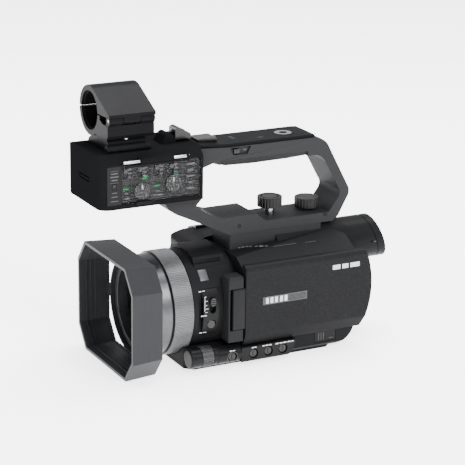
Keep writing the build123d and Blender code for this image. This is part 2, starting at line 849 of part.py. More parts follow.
with BuildPart() as handle_frame:
    with BuildSketch(side(-handle_half_width)):
        with BuildLine():
            Polyline((platform_front, handle_base), (66, handle_base), (71, 94.5), (79, 109))
            ThreePointArc((79, 109), (80, 113), (78.6, 117.5))
            Line((78.6, 117.5), (62.5, 147.5))
            ThreePointArc((62.5, 147.5), (57.3, 154.2), (50, handle_top - cover_thickness))
            Polyline((50, handle_top - cover_thickness), (-20, handle_top - cover_thickness),
                     (audio_rear, handle_top - cover_thickness + 1.5), (audio_rear, audio_low - gap),
                     (-69, audio_low - gap), (-76.8, audio_low - gap), (-76.8, 121.3),
                     (-71.7, 120.7), (-69, 116), (-63, 112), (-47.3, 104.6),
                     (platform_front, handle_base))
        make_face()
        with BuildLine():
            Polyline((audio_rear + 4, 122), (-47.0, 116.6), (-39.7, 110.5), (-31.9, 106.6),
                     (-26, 104.7), (1.7, 104.7), (9.8, floor_z), (63.0, floor_z), (70.5, 108.5))
            ThreePointArc((70.5, 108.5), (72.0, 112.6), (70.4, 117))
            Line((70.4, 117), (59.4, 137))
            ThreePointArc((59.4, 137), (55, 141.8), (46, 143.5))
            Polyline((46, 143.5), (30, grip_belly + 0.6), (0, grip_belly), (-22, grip_belly + 1),
                     (-34, 146.5), (audio_rear + 4, 144), (audio_rear + 4, 122))
        make_face(mode=Mode.SUBTRACT)
    extrude(amount=2 * handle_half_width)
    # the grip's lower edges are cut away so that it sits round in the hand
    with BuildSketch(front(-28)):
        with Locations((handle_half_width, grip_belly), (-handle_half_width, grip_belly)):
            Rectangle(8.5, 8.5, rotation=45)
    extrude(amount=-72, mode=Mode.SUBTRACT)
    # clearance holes for the thumb screws and a seat for the accessory thread
    for screw_y, knob_z in screw_places:
        with Locations((0, screw_y, handle_base)):
            Cylinder(shank_radius + gap, 30, mode=Mode.SUBTRACT)
    with Locations((0, insert_y, handle_top - cover_thickness)):
        Cylinder(bush_radius, 12, mode=Mode.SUBTRACT)
    # recess for the speed slide in the left side band
    with BuildSketch(side(handle_half_width - 2.2)):
        with Locations((slide_y, slide_z - 1.5)):
            Trapezoid(17, 5.5, 62, rotation=180)
    extrude(amount=5, mode=Mode.SUBTRACT)
save(handle_frame.part, "handle_frame")

with BuildPart() as handle_cover:
    with BuildSketch(side(-handle_half_width + 1.2)):
        with BuildLine():
            Polyline((audio_rear, 159.2), (-20, handle_top - cover_thickness),
                     (50, handle_top - cover_thickness), (50, handle_top - 0.3), (45, handle_top),
                     (-21, handle_top), (audio_rear, 161.2), close=True)
        make_face()
    extrude(amount=2 * handle_half_width - 2.4)
    add(handle_frame.part, mode=Mode.SUBTRACT)
    with Locations((0, insert_y, handle_top)):
        Cylinder(bush_radius, 8, mode=Mode.SUBTRACT)
    with Locations((0, rocker_y, handle_top + 6)):
        Box(rocker_across + 2 * gap, rocker_along + 2 * gap, 20, mode=Mode.SUBTRACT)
save(handle_cover.part, "handle_cover")

with BuildPart() as accessory_bush:
    with Locations((0, insert_y, handle_top - cover_thickness - 6)):
        Cylinder(bush_radius, cover_thickness + 6.0, align=from_base)
    with Locations((0, insert_y, handle_top)):
        Cylinder(thread_radius, 2 * thread_depth, mode=Mode.SUBTRACT)

with BuildPart() as thread_bushes:
    add(tripod_bush.part)
    add(accessory_bush.part)
save(thread_bushes.part, "thread_bushes")


def thumb_screw(y, knob_z):
    """Fluted knob on a bright shank that passes through the handle's foot."""
    with BuildPart() as screw:
        with BuildSketch(Plane.XY.offset(knob_z)):
            with Locations((0, y)):
                Circle(knob_radius)
                with PolarLocations(knob_radius + 0.35, 24):
                    Circle(0.85, mode=Mode.SUBTRACT)
        extrude(amount=knob_height)
        with BuildSketch(Plane.XY.offset(handle_base + 0.5)):
            with Locations((0, y)):
                Circle(shank_radius)
        extrude(amount=knob_z - handle_base - 0.5)
    return screw.part


for name, place in zip(("front_thumb_screw", "rear_thumb_screw"), screw_places):
    save(thumb_screw(*place), name)

with BuildPart() as speed_slide:
    with BuildSketch(side(handle_half_width - 2.0)):
        with Locations((slide_y - 3.2, slide_z - 1.4)):
            RectangleRounded(4.4, 3.2, 0.5)
    extrude(amount=2.2)
save(speed_slide.part, "handle_speed_slide")

with BuildPart() as handle_rocker:
    with Locations((0, rocker_y, handle_top + 2.2)):
        Box(rocker_across, rocker_along, 3.4)
    fillet(handle_rocker.edges().filter_by(Axis.X).group_by(Axis.Z)[-1], 1.2)
save(handle_rocker.part, "handle_zoom_rocker")


# ---------------------------------------------------------------- audio unit
door_axis_x = audio_left + 1.9
door_axis_z = 157.6
clear_front = -109.0
clear_rear = -48.0
clear_low = 128.0
clear_high = 154.2
knuckle_span = ((-108.6, -96.2), (-70.0, -57.6))
door_knuckle = 1.6
door_pin = 0.7
audio_round = 13.0           # the rounds along the right side of the box
panel_nose = -120.0
panel_z = 141.2
panel_height = 27.6
audio_panel_face = audio_left - 1.8
xlr_places = [(-104.0, 143.0), (-70.0, 143.0)]
xlr_radius = 9.6
xlr_flange = 12.5
dial_places = [(-93.2, 135.4), (-69.0, 138.2)]
dial_radius = 6.2
switch_places = [(-105.8, 149.0), (-94.5, 149.0), (-81.7, 149.0), (-70.2, 149.0)]


def audio_section(inset):
    """Front view of the audio box: large rounds on the right, a chamfer along the top left."""
    with BuildSketch(front(0)) as section:
        with BuildLine():
            Polyline((audio_right + audio_round, audio_low + inset), (audio_left - inset, audio_low + inset),
                     (audio_left - inset, 156), (18 - 0.4 * inset, audio_high - inset),
                     (audio_right + audio_round, audio_high - inset))
            ThreePointArc((audio_right + audio_round, audio_high - inset),
                          (audio_right + 3.8 + 0.7 * inset, audio_high - 3.8 - 0.7 * inset),
                          (audio_right + inset, audio_high - audio_round))
            Line((audio_right + inset, audio_high - audio_round), (audio_right + inset, audio_low + 10))
            ThreePointArc((audio_right + inset, audio_low + 10),
                          (audio_right + 3.2 + 0.7 * inset, audio_low + 3.2 + 0.7 * inset),
                          (audio_right + audio_round, audio_low + inset))
        make_face()
    return section.sketch_local


with BuildPart() as audio_box:
    with BuildSketch(front(audio_rear)):
        add(audio_section(0))
    extrude(amount=audio_rear - audio_front)
    with BuildSketch(Plane.XY.offset(110)):
        with BuildLine():
            Polyline((audio_right - 1, audio_rear), (audio_right - 1, -117))
            ThreePointArc((audio_right - 1, -117), (-34.5, -123.2), (-26, audio_front))
            Line((-26, audio_front), (16, audio_front))
            ThreePointArc((16, audio_front), (21.6, -122.6), (audio_left, -117))
            Polyline((audio_left, -117), (audio_left, audio_rear), (audio_right - 1, audio_rear))
        make_face()
    extrude(amount=60, mode=Mode.INTERSECT)
    with BuildSketch(front(audio_rear - audio_wall)):
        add(audio_section(audio_wall))
    extrude(amount=audio_rear - audio_front - 2 * audio_wall - 6, mode=Mode.SUBTRACT)
    # opening for the control panel
    with BuildSketch(side(audio_left - 6)):
        with Locations(((panel_nose + clear_rear) / 2, panel_z)):
            Rectangle(clear_rear - panel_nose, panel_height)
    extrude(amount=10, mode=Mode.SUBTRACT)
    # openings for the sockets
    for socket_y, socket_z in xlr_places:
        with Locations((audio_right, socket_y, socket_z)):
            Cylinder(xlr_flange, 20, rotation=(0, 90, 0), mode=Mode.SUBTRACT)
    # hump in front of the record button
    with BuildSketch(side(-7)):
        with BuildLine():
            Polyline((-71, audio_high), (-68, 167.5))
            ThreePointArc((-68, 167.5), (-64.5, 169.6), (-61, 167.5))
            Polyline((-61, 167.5), (-59.6, 166), (-59.6, audio_high), (-71, audio_high))
        make_face()
    extrude(amount=14)
save(audio_box.part, "audio_box")

with BuildPart() as audio_panel:
    with BuildSketch(side(audio_left - 4.2)):
        with Locations(((panel_nose + clear_rear) / 2, panel_z)):
            Rectangle(clear_rear - panel_nose, panel_height)
    extrude(amount=2.4)
    # raised part in front of the door
    with BuildSketch(side(audio_panel_face)):
        with Locations(((panel_nose + clear_front) / 2 - 0.15, panel_z)):
            Rectangle(clear_front - panel_nose - 0.3, panel_height)
    extrude(amount=audio_left - audio_panel_face)
    for dial_y, dial_z in dial_places:
        with Locations((audio_panel_face, dial_y, dial_z)):
            Cylinder(2.0, 12, rotation=(0, 90, 0), mode=Mode.SUBTRACT)
    for switch_y, switch_z in switch_places:
        with Locations((audio_panel_face, switch_y, switch_z)):
            Box(3.2, 4.0, 8.4, mode=Mode.SUBTRACT)
save(audio_panel.part, "audio_panel")


def level_dial(y, z):
    """Round level dial with a short shaft through the panel."""
    with BuildPart() as dial:
        with BuildSketch(side(audio_panel_face + 0.3)):
            with Locations((y, z)):
                Circle(dial_radius)
                with PolarLocations(dial_radius + 0.2, 18):
                    Circle(0.6, mode=Mode.SUBTRACT)
        extrude(amount=1.3)
        with BuildSketch(side(audio_panel_face - 4)):
            with Locations((y, z)):
                Circle(2.0 - fit_gap)
        extrude(amount=4.3)
    return dial.part


for number, place in enumerate(dial_places, start=1):
    save(level_dial(*place), "level_dial_" + str(number))

for number, (switch_y, switch_z) in enumerate(switch_places, start=1):
    with BuildPart() as slide_switch:
        with Locations((audio_panel_face + 0.1, switch_y, switch_z + 2.0)):
            Box(2.6, 3.4, 3.6)
        fillet(slide_switch.faces().sort_by(Axis.X)[-1].edges(), 0.4)
    save(slide_switch.part, "input_switch_" + str(number))

# clear door: it hangs on a pin along its upper edge
door_skin = 1.5
with BuildPart() as clear_door:
    with BuildSketch(side(audio_left + 0.3)):
        with Locations(((clear_front + clear_rear) / 2, (clear_low + clear_high) / 2)):
            RectangleRounded(clear_rear - clear_front - 0.6, clear_high - clear_low, 1.6)
    extrude(amount=door_skin)
    for knuckle_front, knuckle_rear in knuckle_span:
        with BuildSketch(front(knuckle_rear)):
            with Locations((door_axis_x, door_axis_z)):
                Circle(door_knuckle)
            with Locations((audio_left + 0.3 + door_skin / 2, 155.4)):
                Rectangle(door_skin, 4.4)
        extrude(amount=knuckle_rear - knuckle_front)
    with BuildSketch(front(0)):
        with Locations((door_axis_x, door_axis_z)):
            Circle(door_pin + fit_gap)
    extrude(amount=140, mode=Mode.SUBTRACT)
save(clear_door.part, "audio_door")

with BuildPart() as door_hinge:
    # bracket with the fixed knuckles
    with BuildSketch(front(knuckle_span[1][0] - 0.4)):
        with Locations((door_axis_x, door_axis_z)):
            Circle(door_knuckle)
        with BuildLine():
            Polyline((audio_left, 155.4), (door_axis_x, 156.0), (door_axis_x, 159.2), (20.8, 159.8),
                     (audio_left, 156.01), close=True)
        make_face()
    extrude(amount=knuckle_span[1][0] - knuckle_span[0][1] - 0.8)
    add(audio_box.part, mode=Mode.SUBTRACT)
    # pin that runs through every knuckle
    with BuildSketch(front(-56.8)):
        with Locations((door_axis_x, door_axis_z)):
            Circle(door_pin)
    extrude(amount=109.4 - 56.8)
save(door_hinge.part, "door_hinge")


def xlr_socket(y, z):
    """Round socket shell with its insert, open to the right."""
    with BuildPart() as socket:
        with Locations((audio_right - 1.0, y, z)):
            Cylinder(xlr_flange, 18, rotation=(0, 90, 0), align=from_base)
            Cylinder(xlr_radius, 14, rotation=(0, 90, 0), align=from_base,
                     mode=Mode.SUBTRACT)
        with Locations((audio_right + audio_round, y, z)):
            with Locations(Plane(origin=(audio_right + audio_round, y, z), z_dir=(-1, 0, 0))):
                with PolarLocations(4.2, 3):
                    Cylinder(1.2, 4, align=from_top, mode=Mode.SUBTRACT)
    return socket.part


with BuildPart() as xlr_sockets:
    for place in xlr_places:
        add(xlr_socket(*place))
save(xlr_sockets.part, "xlr_sockets")

with BuildPart() as handle_record:
    with BuildSketch(side(-5.5)):
        with BuildLine():
            Polyline((-59.2, audio_high + 1.6), (-59.2, 171.5))
            ThreePointArc((-59.2, 171.5), (-57, 173), (-54, 172.0))
            Polyline((-54, 172.0), (-47, 168.0), (-46.4, audio_high + 1.6), (-59.2, audio_high + 1.6))
        make_face()
    extrude(amount=11)
    fillet(handle_record.edges().filter_by(Axis.Y).group_by(Axis.Z)[-1], 0.4)
save(handle_record.part, "handle_record_button")


# ---------------------------------------------------------------- microphone holder
tangent_turn = degrees(acos(mic_outer / ((mic_hinge_x + 3 - mic_x) ** 2 + 9) ** 0.5)) + 5
tangent_x = mic_x + mic_outer * cos(radians(tangent_turn))
tangent_z = mic_z + mic_outer * sin(radians(tangent_turn))
lid_split = 0.5
mic_rear = mic_front + mic_length
lid_knuckles = ((-104.0, -91.0),)
cradle_knuckles = ((-114.6, -104.3), (-90.7, -80.0))

with BuildPart() as mic_lid:
    with BuildSketch(front(mic_rear)):
        with Locations((mic_x, mic_z)):
            Circle(mic_outer)
        with BuildLine():
            Polyline((mic_x, mic_z), (mic_hinge_x + 3.2, mic_z + 0.9), (mic_hinge_x + 3.2, mic_z + 3.2),
                     (tangent_x, tangent_z), close=True)
        make_face()
        with Locations((mic_x, mic_z)):
            Circle(mic_bore, mode=Mode.SUBTRACT)
        with Locations((0, mic_z + lid_split)):
            Rectangle(120, 60, align=(Align.CENTER, Align.MAX), mode=Mode.SUBTRACT)
    extrude(amount=mic_length)
    # relief around the cradle's knuckles
    for knuckle_front, knuckle_rear in cradle_knuckles:
        with BuildSketch(front(knuckle_rear + gap)):
            with Locations((mic_hinge_x, mic_hinge_z)):
                Circle(knuckle_radius + gap)
        extrude(amount=knuckle_rear - knuckle_front + 2 * gap, mode=Mode.SUBTRACT)
    for knuckle_front, knuckle_rear in lid_knuckles:
        with BuildSketch(front(knuckle_rear)):
            with Locations((mic_hinge_x, mic_hinge_z)):
                Circle(knuckle_radius)
                Rectangle(2 * knuckle_radius, 3, align=(Align.CENTER, Align.MIN))
        extrude(amount=knuckle_rear - knuckle_front)
    with BuildSketch(front(0)):
        with Locations((mic_hinge_x, mic_hinge_z)):
            Circle(mic_pin_radius + fit_gap)
    extrude(amount=140, mode=Mode.SUBTRACT)
save(mic_lid.part, "mic_lid")

with BuildPart() as mic_cradle:
    with BuildSketch(front(mic_rear)):
        with Locations((mic_x, mic_z)):
            Circle(mic_outer)
        with BuildLine():
            Polyline((mic_x - 6, clamp_foot_z), (12.0, clamp_foot_z), (14.0, 174), (14.0, 181.4),
                     (5, 181.4), (mic_x + 10, mic_z), close=True)
        make_face()
        with Locations((mic_x, mic_z)):
            Circle(mic_bore, mode=Mode.SUBTRACT)
        with Locations((0, mic_z - lid_split)):
            Rectangle(120, 60, align=(Align.CENTER, Align.MIN), mode=Mode.SUBTRACT)
    extrude(amount=mic_length)
    for knuckle_front, knuckle_rear in cradle_knuckles:
        with BuildSketch(front(knuckle_rear)):
            with Locations((mic_hinge_x, mic_hinge_z)):
                Circle(knuckle_radius)
            with BuildLine():
                Polyline((mic_hinge_x - 4, 181), (mic_hinge_x + 0.5, 181),
                         (mic_hinge_x + 2.0, mic_hinge_z - 2.5), (mic_hinge_x - 2.6, mic_hinge_z - 1),
                         close=True)
            make_face()
        extrude(amount=knuckle_rear - knuckle_front)
    with BuildSketch(front(0)):
        with Locations((mic_hinge_x, mic_hinge_z)):
            Circle(mic_pin_radius)
    extrude(amount=140, mode=Mode.SUBTRACT)
save(mic_cradle.part, "mic_cradle")

with BuildPart() as mic_pin:
    with Locations(front(mic_rear - 0.6)):
        with Locations((mic_hinge_x, mic_hinge_z)):
            Cylinder(mic_pin_radius, mic_length - 1.2, align=from_base)

with BuildPart() as hinge_pins:
    add(hinge_pin.part)
    add(mic_pin.part)
save(hinge_pins.part, "hinge_pins")

with BuildPart() as mic_base:
    with BuildSketch(front(-85)):
        with BuildLine():
            Polyline((-24, audio_high), (-22, 166), (-18, 168.0), (-14, clamp_foot_z),
                     (9, clamp_foot_z), (12, 169.5), (13, audio_high), close=True)
        make_face()
    extrude(amount=29)
    add(mic_cradle.part, mode=Mode.SUBTRACT)
    # rounded rail along the left edge
    with BuildSketch(front(-83)):
        with Locations((13.5, 165.2)):
            Circle(2.7)
    extrude(amount=33)
save(mic_base.part, "mic_base")


# ---------------------------------------------------------------- grip controls
with BuildPart() as zoom_rocker:
    with BuildSketch(rocker_plane.offset(1.6 - rocker_height)):
        Rectangle(rocker_width, rocker_length)
    extrude(amount=rocker_height)
    fillet(zoom_rocker.faces().sort_by(Axis.Z)[-1].edges(), 1.2)
save(zoom_rocker.part, "grip_zoom_rocker")

with BuildPart() as record_button:
    with Locations(front(casing_rear - 3)):
        with Locations((record_x, record_z)):
            Cylinder(record_radius, 8, align=from_top)
    fillet(record_button.faces().sort_by(Axis.Y)[-1].edges(), 1.0)
save(record_button.part, "record_button")

strap_width = 34.0
strap_thick = 3.0
strap_z = 44.0
with BuildPart() as hand_strap:
    with BuildSketch(Plane.XY.offset(strap_z - strap_width / 2)):
        with BuildLine():
            Spline((10 - grip_out, -24), (-14 - grip_out, -8), (-22 - grip_out, 20),
                   (-13 - grip_out, 48), (7 - grip_out, 68))
        trace(line_width=strap_thick)
    extrude(amount=strap_width)
    add(casing_outer.part, mode=Mode.SUBTRACT)
    add(rear_cover.part, mode=Mode.SUBTRACT)
save(hand_strap.part, "hand_strap")
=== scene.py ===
# Compact professional camcorder with an audio handle, a swing-out monitor and a microphone clamp.
# Metres, in the CAD frame: +X is the operator's left, the lens looks along -Y, +Z is up.
import bpy
import json
from math import asin, atan2, cos, pi, radians, sin
from mathutils import Matrix, Vector


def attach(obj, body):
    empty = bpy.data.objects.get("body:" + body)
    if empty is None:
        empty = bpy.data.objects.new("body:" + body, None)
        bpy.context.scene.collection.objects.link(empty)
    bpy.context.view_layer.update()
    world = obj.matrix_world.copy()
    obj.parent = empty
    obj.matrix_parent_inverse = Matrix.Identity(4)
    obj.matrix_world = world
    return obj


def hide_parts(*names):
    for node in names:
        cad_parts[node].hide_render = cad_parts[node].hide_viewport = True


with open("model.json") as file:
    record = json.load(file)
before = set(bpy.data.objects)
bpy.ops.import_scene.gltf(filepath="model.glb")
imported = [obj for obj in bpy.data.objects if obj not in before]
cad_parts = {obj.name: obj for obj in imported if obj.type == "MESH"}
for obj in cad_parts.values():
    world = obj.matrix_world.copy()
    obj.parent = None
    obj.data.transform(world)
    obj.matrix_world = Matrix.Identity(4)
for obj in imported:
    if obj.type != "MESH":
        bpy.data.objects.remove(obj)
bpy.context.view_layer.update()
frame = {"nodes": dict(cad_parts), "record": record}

MM = 0.001

# Places that several pieces share, in mm: they are read off the CAD and are the same there.
LENS_HEIGHT = 42.3
HOUSING_RADIUS = 38.0
SWITCH_PANEL_RADIUS = 38.5
PANEL_FACE = 22.2
PANEL_FOOT = 128.2
DIAL_FACE = 23.8
SOCKET_HEIGHT = 143.0
SOCKET_PLACES = (-104.0, -70.0)
COVER_TOP = 159.3
CLAMP_X, CLAMP_Z = -18.0, 186.5
FINDER_AXIS_X, FINDER_AXIS_Z = 4.0, 71.9

# ------------------------------------------------------------------ studio
# A pale glowing floor, a large soft light above, one on the operator's left, a weak fill and a rim light.
# The camera stands to the front left of the camcorder and a little above it, with a long lens.
AZIMUTH = radians(62.47)
ELEVATION = radians(17.21)
ROLL = radians(0.75)

right = Vector((cos(AZIMUTH), sin(AZIMUTH), 0))
ahead = Vector((-sin(AZIMUTH) * cos(ELEVATION), cos(AZIMUTH) * cos(ELEVATION), -sin(ELEVATION)))
above = right.cross(ahead)
turned_right = cos(ROLL) * right + sin(ROLL) * above
turned_up = -sin(ROLL) * right + cos(ROLL) * above

camera_data = bpy.data.cameras.new("camera")
camera_data.sensor_width = 36
camera_data.lens = 142.86
camera_data.clip_start = 0.05
camera = bpy.data.objects.new("camera", camera_data)
bpy.context.collection.objects.link(camera)
turn = Matrix((turned_right, turned_up, -ahead)).transposed().to_4x4()
camera.matrix_world = Matrix.Translation((1.151, -0.6095, 0.4895)) @ turn
bpy.context.scene.camera = camera


def soft_light(name, place, target, size, power):
    """A square area light that faces the target."""
    data = bpy.data.lights.new(name, "AREA")
    data.shape = "SQUARE"
    data.size = size
    data.energy = power
    light = bpy.data.objects.new(name, data)
    bpy.context.collection.objects.link(light)
    direction = Vector(target) - Vector(place)
    light.location = place
    light.rotation_euler = direction.to_track_quat("-Z", "Y").to_euler()


soft_light("overhead", (-0.25, 0.35, 1.6), (0, 0, 0.05), 1.1, 62)
soft_light("left_window", (1.35, 0.15, 1.05), (0, 0, 0.06), 0.7, 36)
soft_light("front_fill", (0.35, -1.5, 0.9), (0, 0, 0.08), 0.5, 2.5)
soft_light("right_rim", (-1.1, -0.5, 0.9), (0, 0, 0.12), 0.8, 9)

world = bpy.data.worlds.new("studio")
bpy.context.scene.world = world
world.use_nodes = True
backdrop = world.node_tree.nodes["Background"]
backdrop.inputs["Color"].default_value = (0.93, 0.94, 0.96, 1)
backdrop.inputs["Strength"].default_value = 1.0

bpy.ops.mesh.primitive_plane_add(size=12, location=(0, 0, -0.0002))
floor = bpy.context.active_object
floor.name = "floor"
floor_material = bpy.data.materials.new("floor_paper")
floor_material.use_nodes = True
for socket_name, value in (("Base Color", (0.97, 0.97, 0.97, 1)), ("Roughness", 0.9),
                           ("Emission Color", (1, 1, 1, 1)), ("Emission Strength", 2.6)):
    floor_material.node_tree.nodes["Principled BSDF"].inputs[socket_name].default_value = value
floor.data.materials.append(floor_material)


# ------------------------------------------------------------------ casing
# Injection moulded body: two halves, lens housing, cradle, base plate, rear cover and top platform.
# The halves are screwed together; the plastic is black, with a fine spark-eroded grain and rounded edges.
class Wire:
    """A value that flows in a material: arithmetic on it adds Math nodes."""

    def __init__(self, tree, socket):
        self.tree = tree
        self.socket = socket

    def math(self, operation, *values):
        made = self.tree.nodes.new("ShaderNodeMath")
        made.operation = operation
        for place, value in zip(made.inputs, values):
            if isinstance(value, Wire):
                self.tree.links.new(value.socket, place)
            else:
                place.default_value = value
        return Wire(self.tree, made.outputs[0])

    def __add__(self, other):
        return self.math("ADD", self, other)

    def __mul__(self, other):
        return self.math("MULTIPLY", self, other)

    def __gt__(self, other):
        return self.math("GREATER_THAN", self, other)


class Finish:
    """A material in the making, with one shader whose constants are set on its own sockets."""

    def __init__(self, name, color, roughness, metallic=0.0, **constants):
        self.material = bpy.data.materials.new(name)
        self.material.use_nodes = True
        self.tree = self.material.node_tree
        self.shader = self.tree.nodes["Principled BSDF"]
        self.set("Base Color", (*color, 1))
        self.set("Roughness", roughness)
        self.set("Metallic", metallic)
        self.set("Specular IOR Level", 0.03)
        for socket_name, value in constants.items():
            self.set(socket_name.replace("_", " "), value)

    def set(self, name, value):
        """Gives one of the shader's sockets a constant or a wire."""
        if isinstance(value, Wire):
            self.tree.links.new(value.socket, self.shader.inputs[name])
        else:
            self.shader.inputs[name].default_value = value

    def node(self, kind, output, settings=None, inputs=None):
        """Any other node: its settings are set first, then its sockets; one output comes back as a wire."""
        made = self.tree.nodes.new("ShaderNode" + kind)
        for name, value in (settings or {}).items():
            setattr(made, name, value)
        for name, value in (inputs or {}).items():
            if isinstance(value, Wire):
                self.tree.links.new(value.socket, made.inputs[name])
            else:
                made.inputs[name].default_value = value
        return Wire(self.tree, made.outputs[output])

    def place(self):
        """The point on the object, in metres."""
        return self.node("TexCoord", "Object")

    def noise(self, scale, detail=3.0, vector=None):
        """Smooth random patches, so many to the metre."""
        inputs = {"Vector": vector or self.place(), "Scale": scale, "Detail": detail}
        return self.node("TexNoise", 0, inputs=inputs)

    def blend(self, factor, first, second):
        """Mixes two colours, each a wire or three numbers."""
        ends = [c if isinstance(c, Wire) else (*c, 1) for c in (first, second)]
        return self.node("Mix", 2, {"data_type": "RGBA"}, {0: factor, 6: ends[0], 7: ends[1]})

    def bump(self, height, distance):
        """Raises the surface by the height wire, up to a distance in metres."""
        inputs = {"Height": height, "Distance": distance, "Strength": 1.0}
        self.set("Normal", self.node("Bump", "Normal", inputs=inputs))


def moulded(name, color, roughness, grain=2600.0, depth=0.00004, gloss=0.03):
    """Spark-eroded plastic: a fine pebble grain, slow changes of gloss, and faint handling marks."""
    finish = Finish(name, color, roughness)
    finish.set("Specular IOR Level", gloss)
    pebbles = finish.noise(grain, 2.0)
    slow = finish.noise(38.0, 4.0)
    marks = finish.noise(420.0, 5.0)
    lighter = tuple(1.35 * channel + 0.0008 for channel in color)
    finish.set("Base Color", finish.blend(slow * 0.55 + pebbles * 0.45, color, lighter))
    finish.set("Roughness", slow * 0.12 + marks * 0.1 + (roughness - 0.11))
    finish.bump(pebbles, depth)
    return finish.material


def select_only(*objects):
    """Leaves just these objects selected, the first of them active."""
    bpy.ops.object.select_all(action="DESELECT")
    for thing in objects:
        thing.select_set(True)
    bpy.context.view_layer.objects.active = objects[0]


def apply_all(piece):
    """Applies each modifier on the piece, in order."""
    select_only(piece)
    for modifier in list(piece.modifiers):
        bpy.ops.object.modifier_apply(modifier=modifier.name)


def smoothed(piece, angle=35):
    """Smooth shading that breaks at sharp edges."""
    select_only(piece)
    bpy.ops.object.shade_smooth_by_angle(angle=radians(angle))


body_of_node = {}
for body, nodes in frame["record"]["behaviour"]["bodies"].items():
    for node in nodes:
        body_of_node[node] = body


def finished(piece, material):
    """Gives a piece or a carried-over CAD node this one finish."""
    piece.data.materials.clear()
    piece.data.materials.append(material)


def bevelled(piece, width, segments=2):
    """Rounds the sharp edges of a small piece, by a width in mm."""
    bevel = piece.modifiers.new("edge", "BEVEL")
    bevel.width = width * MM
    bevel.segments = segments
    bevel.limit_method = "ANGLE"
    bevel.angle_limit = radians(40)
    apply_all(piece)


def inked(piece, height, offset=1):
    """Turns flat print into a thin raised layer, by a height in mm."""
    solid = piece.modifiers.new("ink", "SOLIDIFY")
    solid.thickness = height * MM
    solid.offset = offset
    apply_all(piece)


def outward(piece):
    """Turns every face of a closed piece outward."""
    select_only(piece)
    bpy.ops.object.mode_set(mode="EDIT")
    bpy.ops.mesh.select_all(action="SELECT")
    bpy.ops.mesh.normals_make_consistent(inside=False)
    bpy.ops.object.mode_set(mode="OBJECT")


def meshed(name, corners, faces, edges=()):
    """A new piece from its corners, in metres, and its faces."""
    mesh = bpy.data.meshes.new(name)
    mesh.from_pydata(corners, edges, faces)
    piece = bpy.data.objects.new(name, mesh)
    bpy.context.collection.objects.link(piece)
    return piece


def rounded(node, width, segments, material, merge=True):
    """The node's own shape with its edges rounded as a mould leaves them; it stands for the node."""
    mesh = frame["nodes"][node].data.copy()
    piece = bpy.data.objects.new(node + "_moulding", mesh)
    bpy.context.collection.objects.link(piece)
    select_only(piece)
    bpy.ops.object.mode_set(mode="EDIT")
    bpy.ops.mesh.select_all(action="SELECT")
    bpy.ops.mesh.remove_doubles(threshold=2e-6)
    if merge:
        bpy.ops.mesh.dissolve_limited(angle_limit=radians(0.8))
    bpy.ops.object.mode_set(mode="OBJECT")
    bevel = piece.modifiers.new("edge", "BEVEL")
    bevel.limit_method = "ANGLE"
    bevel.angle_limit = radians(28)
    bevel.width = width
    bevel.segments = segments
    bevel.miter_outer = "MITER_ARC"
    apply_all(piece)
    smoothed(piece, 40)
    weighted = piece.modifiers.new("normals", "WEIGHTED_NORMAL")
    weighted.keep_sharp = True
    apply_all(piece)
    finished(piece, material)
    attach(piece, body_of_node[node])
    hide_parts(node)


def settle(piece, body, material, angle=35):
    """Puts the piece's place into its mesh, gives it its finish and sets it on its body."""
    select_only(piece)
    bpy.ops.object.transform_apply(location=True, rotation=True, scale=True)
    finished(piece, material)
    smoothed(piece, angle)
    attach(piece, body)
    return piece


def pick_faces(piece, test):
    """Selects just the faces whose middle and normal pass the test, ready for edit mode."""
    select_only(piece)
    bpy.ops.object.mode_set(mode="EDIT")
    bpy.ops.mesh.select_mode(type="FACE")
    bpy.ops.mesh.select_all(action="DESELECT")
    bpy.ops.object.mode_set(mode="OBJECT")
    for face in piece.data.polygons:
        face.select = test(face.center, face.normal)
    bpy.ops.object.mode_set(mode="EDIT")


def slab(name, low, high, material, body, edge=0.15, face=None, margin=0.0, sink=0.0, segments=2):
    """A small rounded moulding between two corners, in mm; one face may have a sunk field."""
    size = [b - a for a, b in zip(low, high)]
    middle = [(a + b) / 2 * MM for a, b in zip(low, high)]
    bpy.ops.object.select_all(action="DESELECT")
    bpy.ops.mesh.primitive_cube_add(size=MM, location=middle, scale=size)
    piece = bpy.context.active_object
    piece.name = name
    bpy.ops.object.transform_apply(location=True, rotation=True, scale=True)
    if face:
        wanted = Vector(face)
        pick_faces(piece, lambda centre, normal: normal.dot(wanted) > 0.9)
        bpy.ops.mesh.inset(thickness=margin * MM, depth=0)
        bpy.ops.mesh.inset(thickness=0.12 * MM, depth=-sink * MM)
        bpy.ops.object.mode_set(mode="OBJECT")
    bevelled(piece, edge, segments)
    settle(piece, body, material)


def turned(name, centre, axis, profile, material, body, steps=48):
    """A lathe-turned piece: its profile, as distance along the axis and radius in mm, goes round the axis."""
    middle = Vector(centre) * MM
    along = Vector(axis).normalized()
    out = along.orthogonal().normalized()
    points = [middle + along * (step * MM) + out * (radius * MM) for step, radius in profile]
    piece = meshed(name, points, [], [(i, i + 1) for i in range(len(points) - 1)])
    select_only(piece)
    bpy.ops.object.mode_set(mode="EDIT")
    bpy.ops.mesh.select_all(action="SELECT")
    bpy.ops.mesh.spin(steps=steps, angle=2 * pi, center=middle, axis=along)
    bpy.ops.mesh.select_all(action="SELECT")
    bpy.ops.mesh.remove_doubles(threshold=1e-6)
    bpy.ops.object.mode_set(mode="OBJECT")
    outward(piece)
    settle(piece, body, material, 30)


TURNS = {"+X": (0, pi / 2, 0), "-X": (0, -pi / 2, 0), "+Y": (-pi / 2, 0, 0), "+Z": (0, 0, 0)}


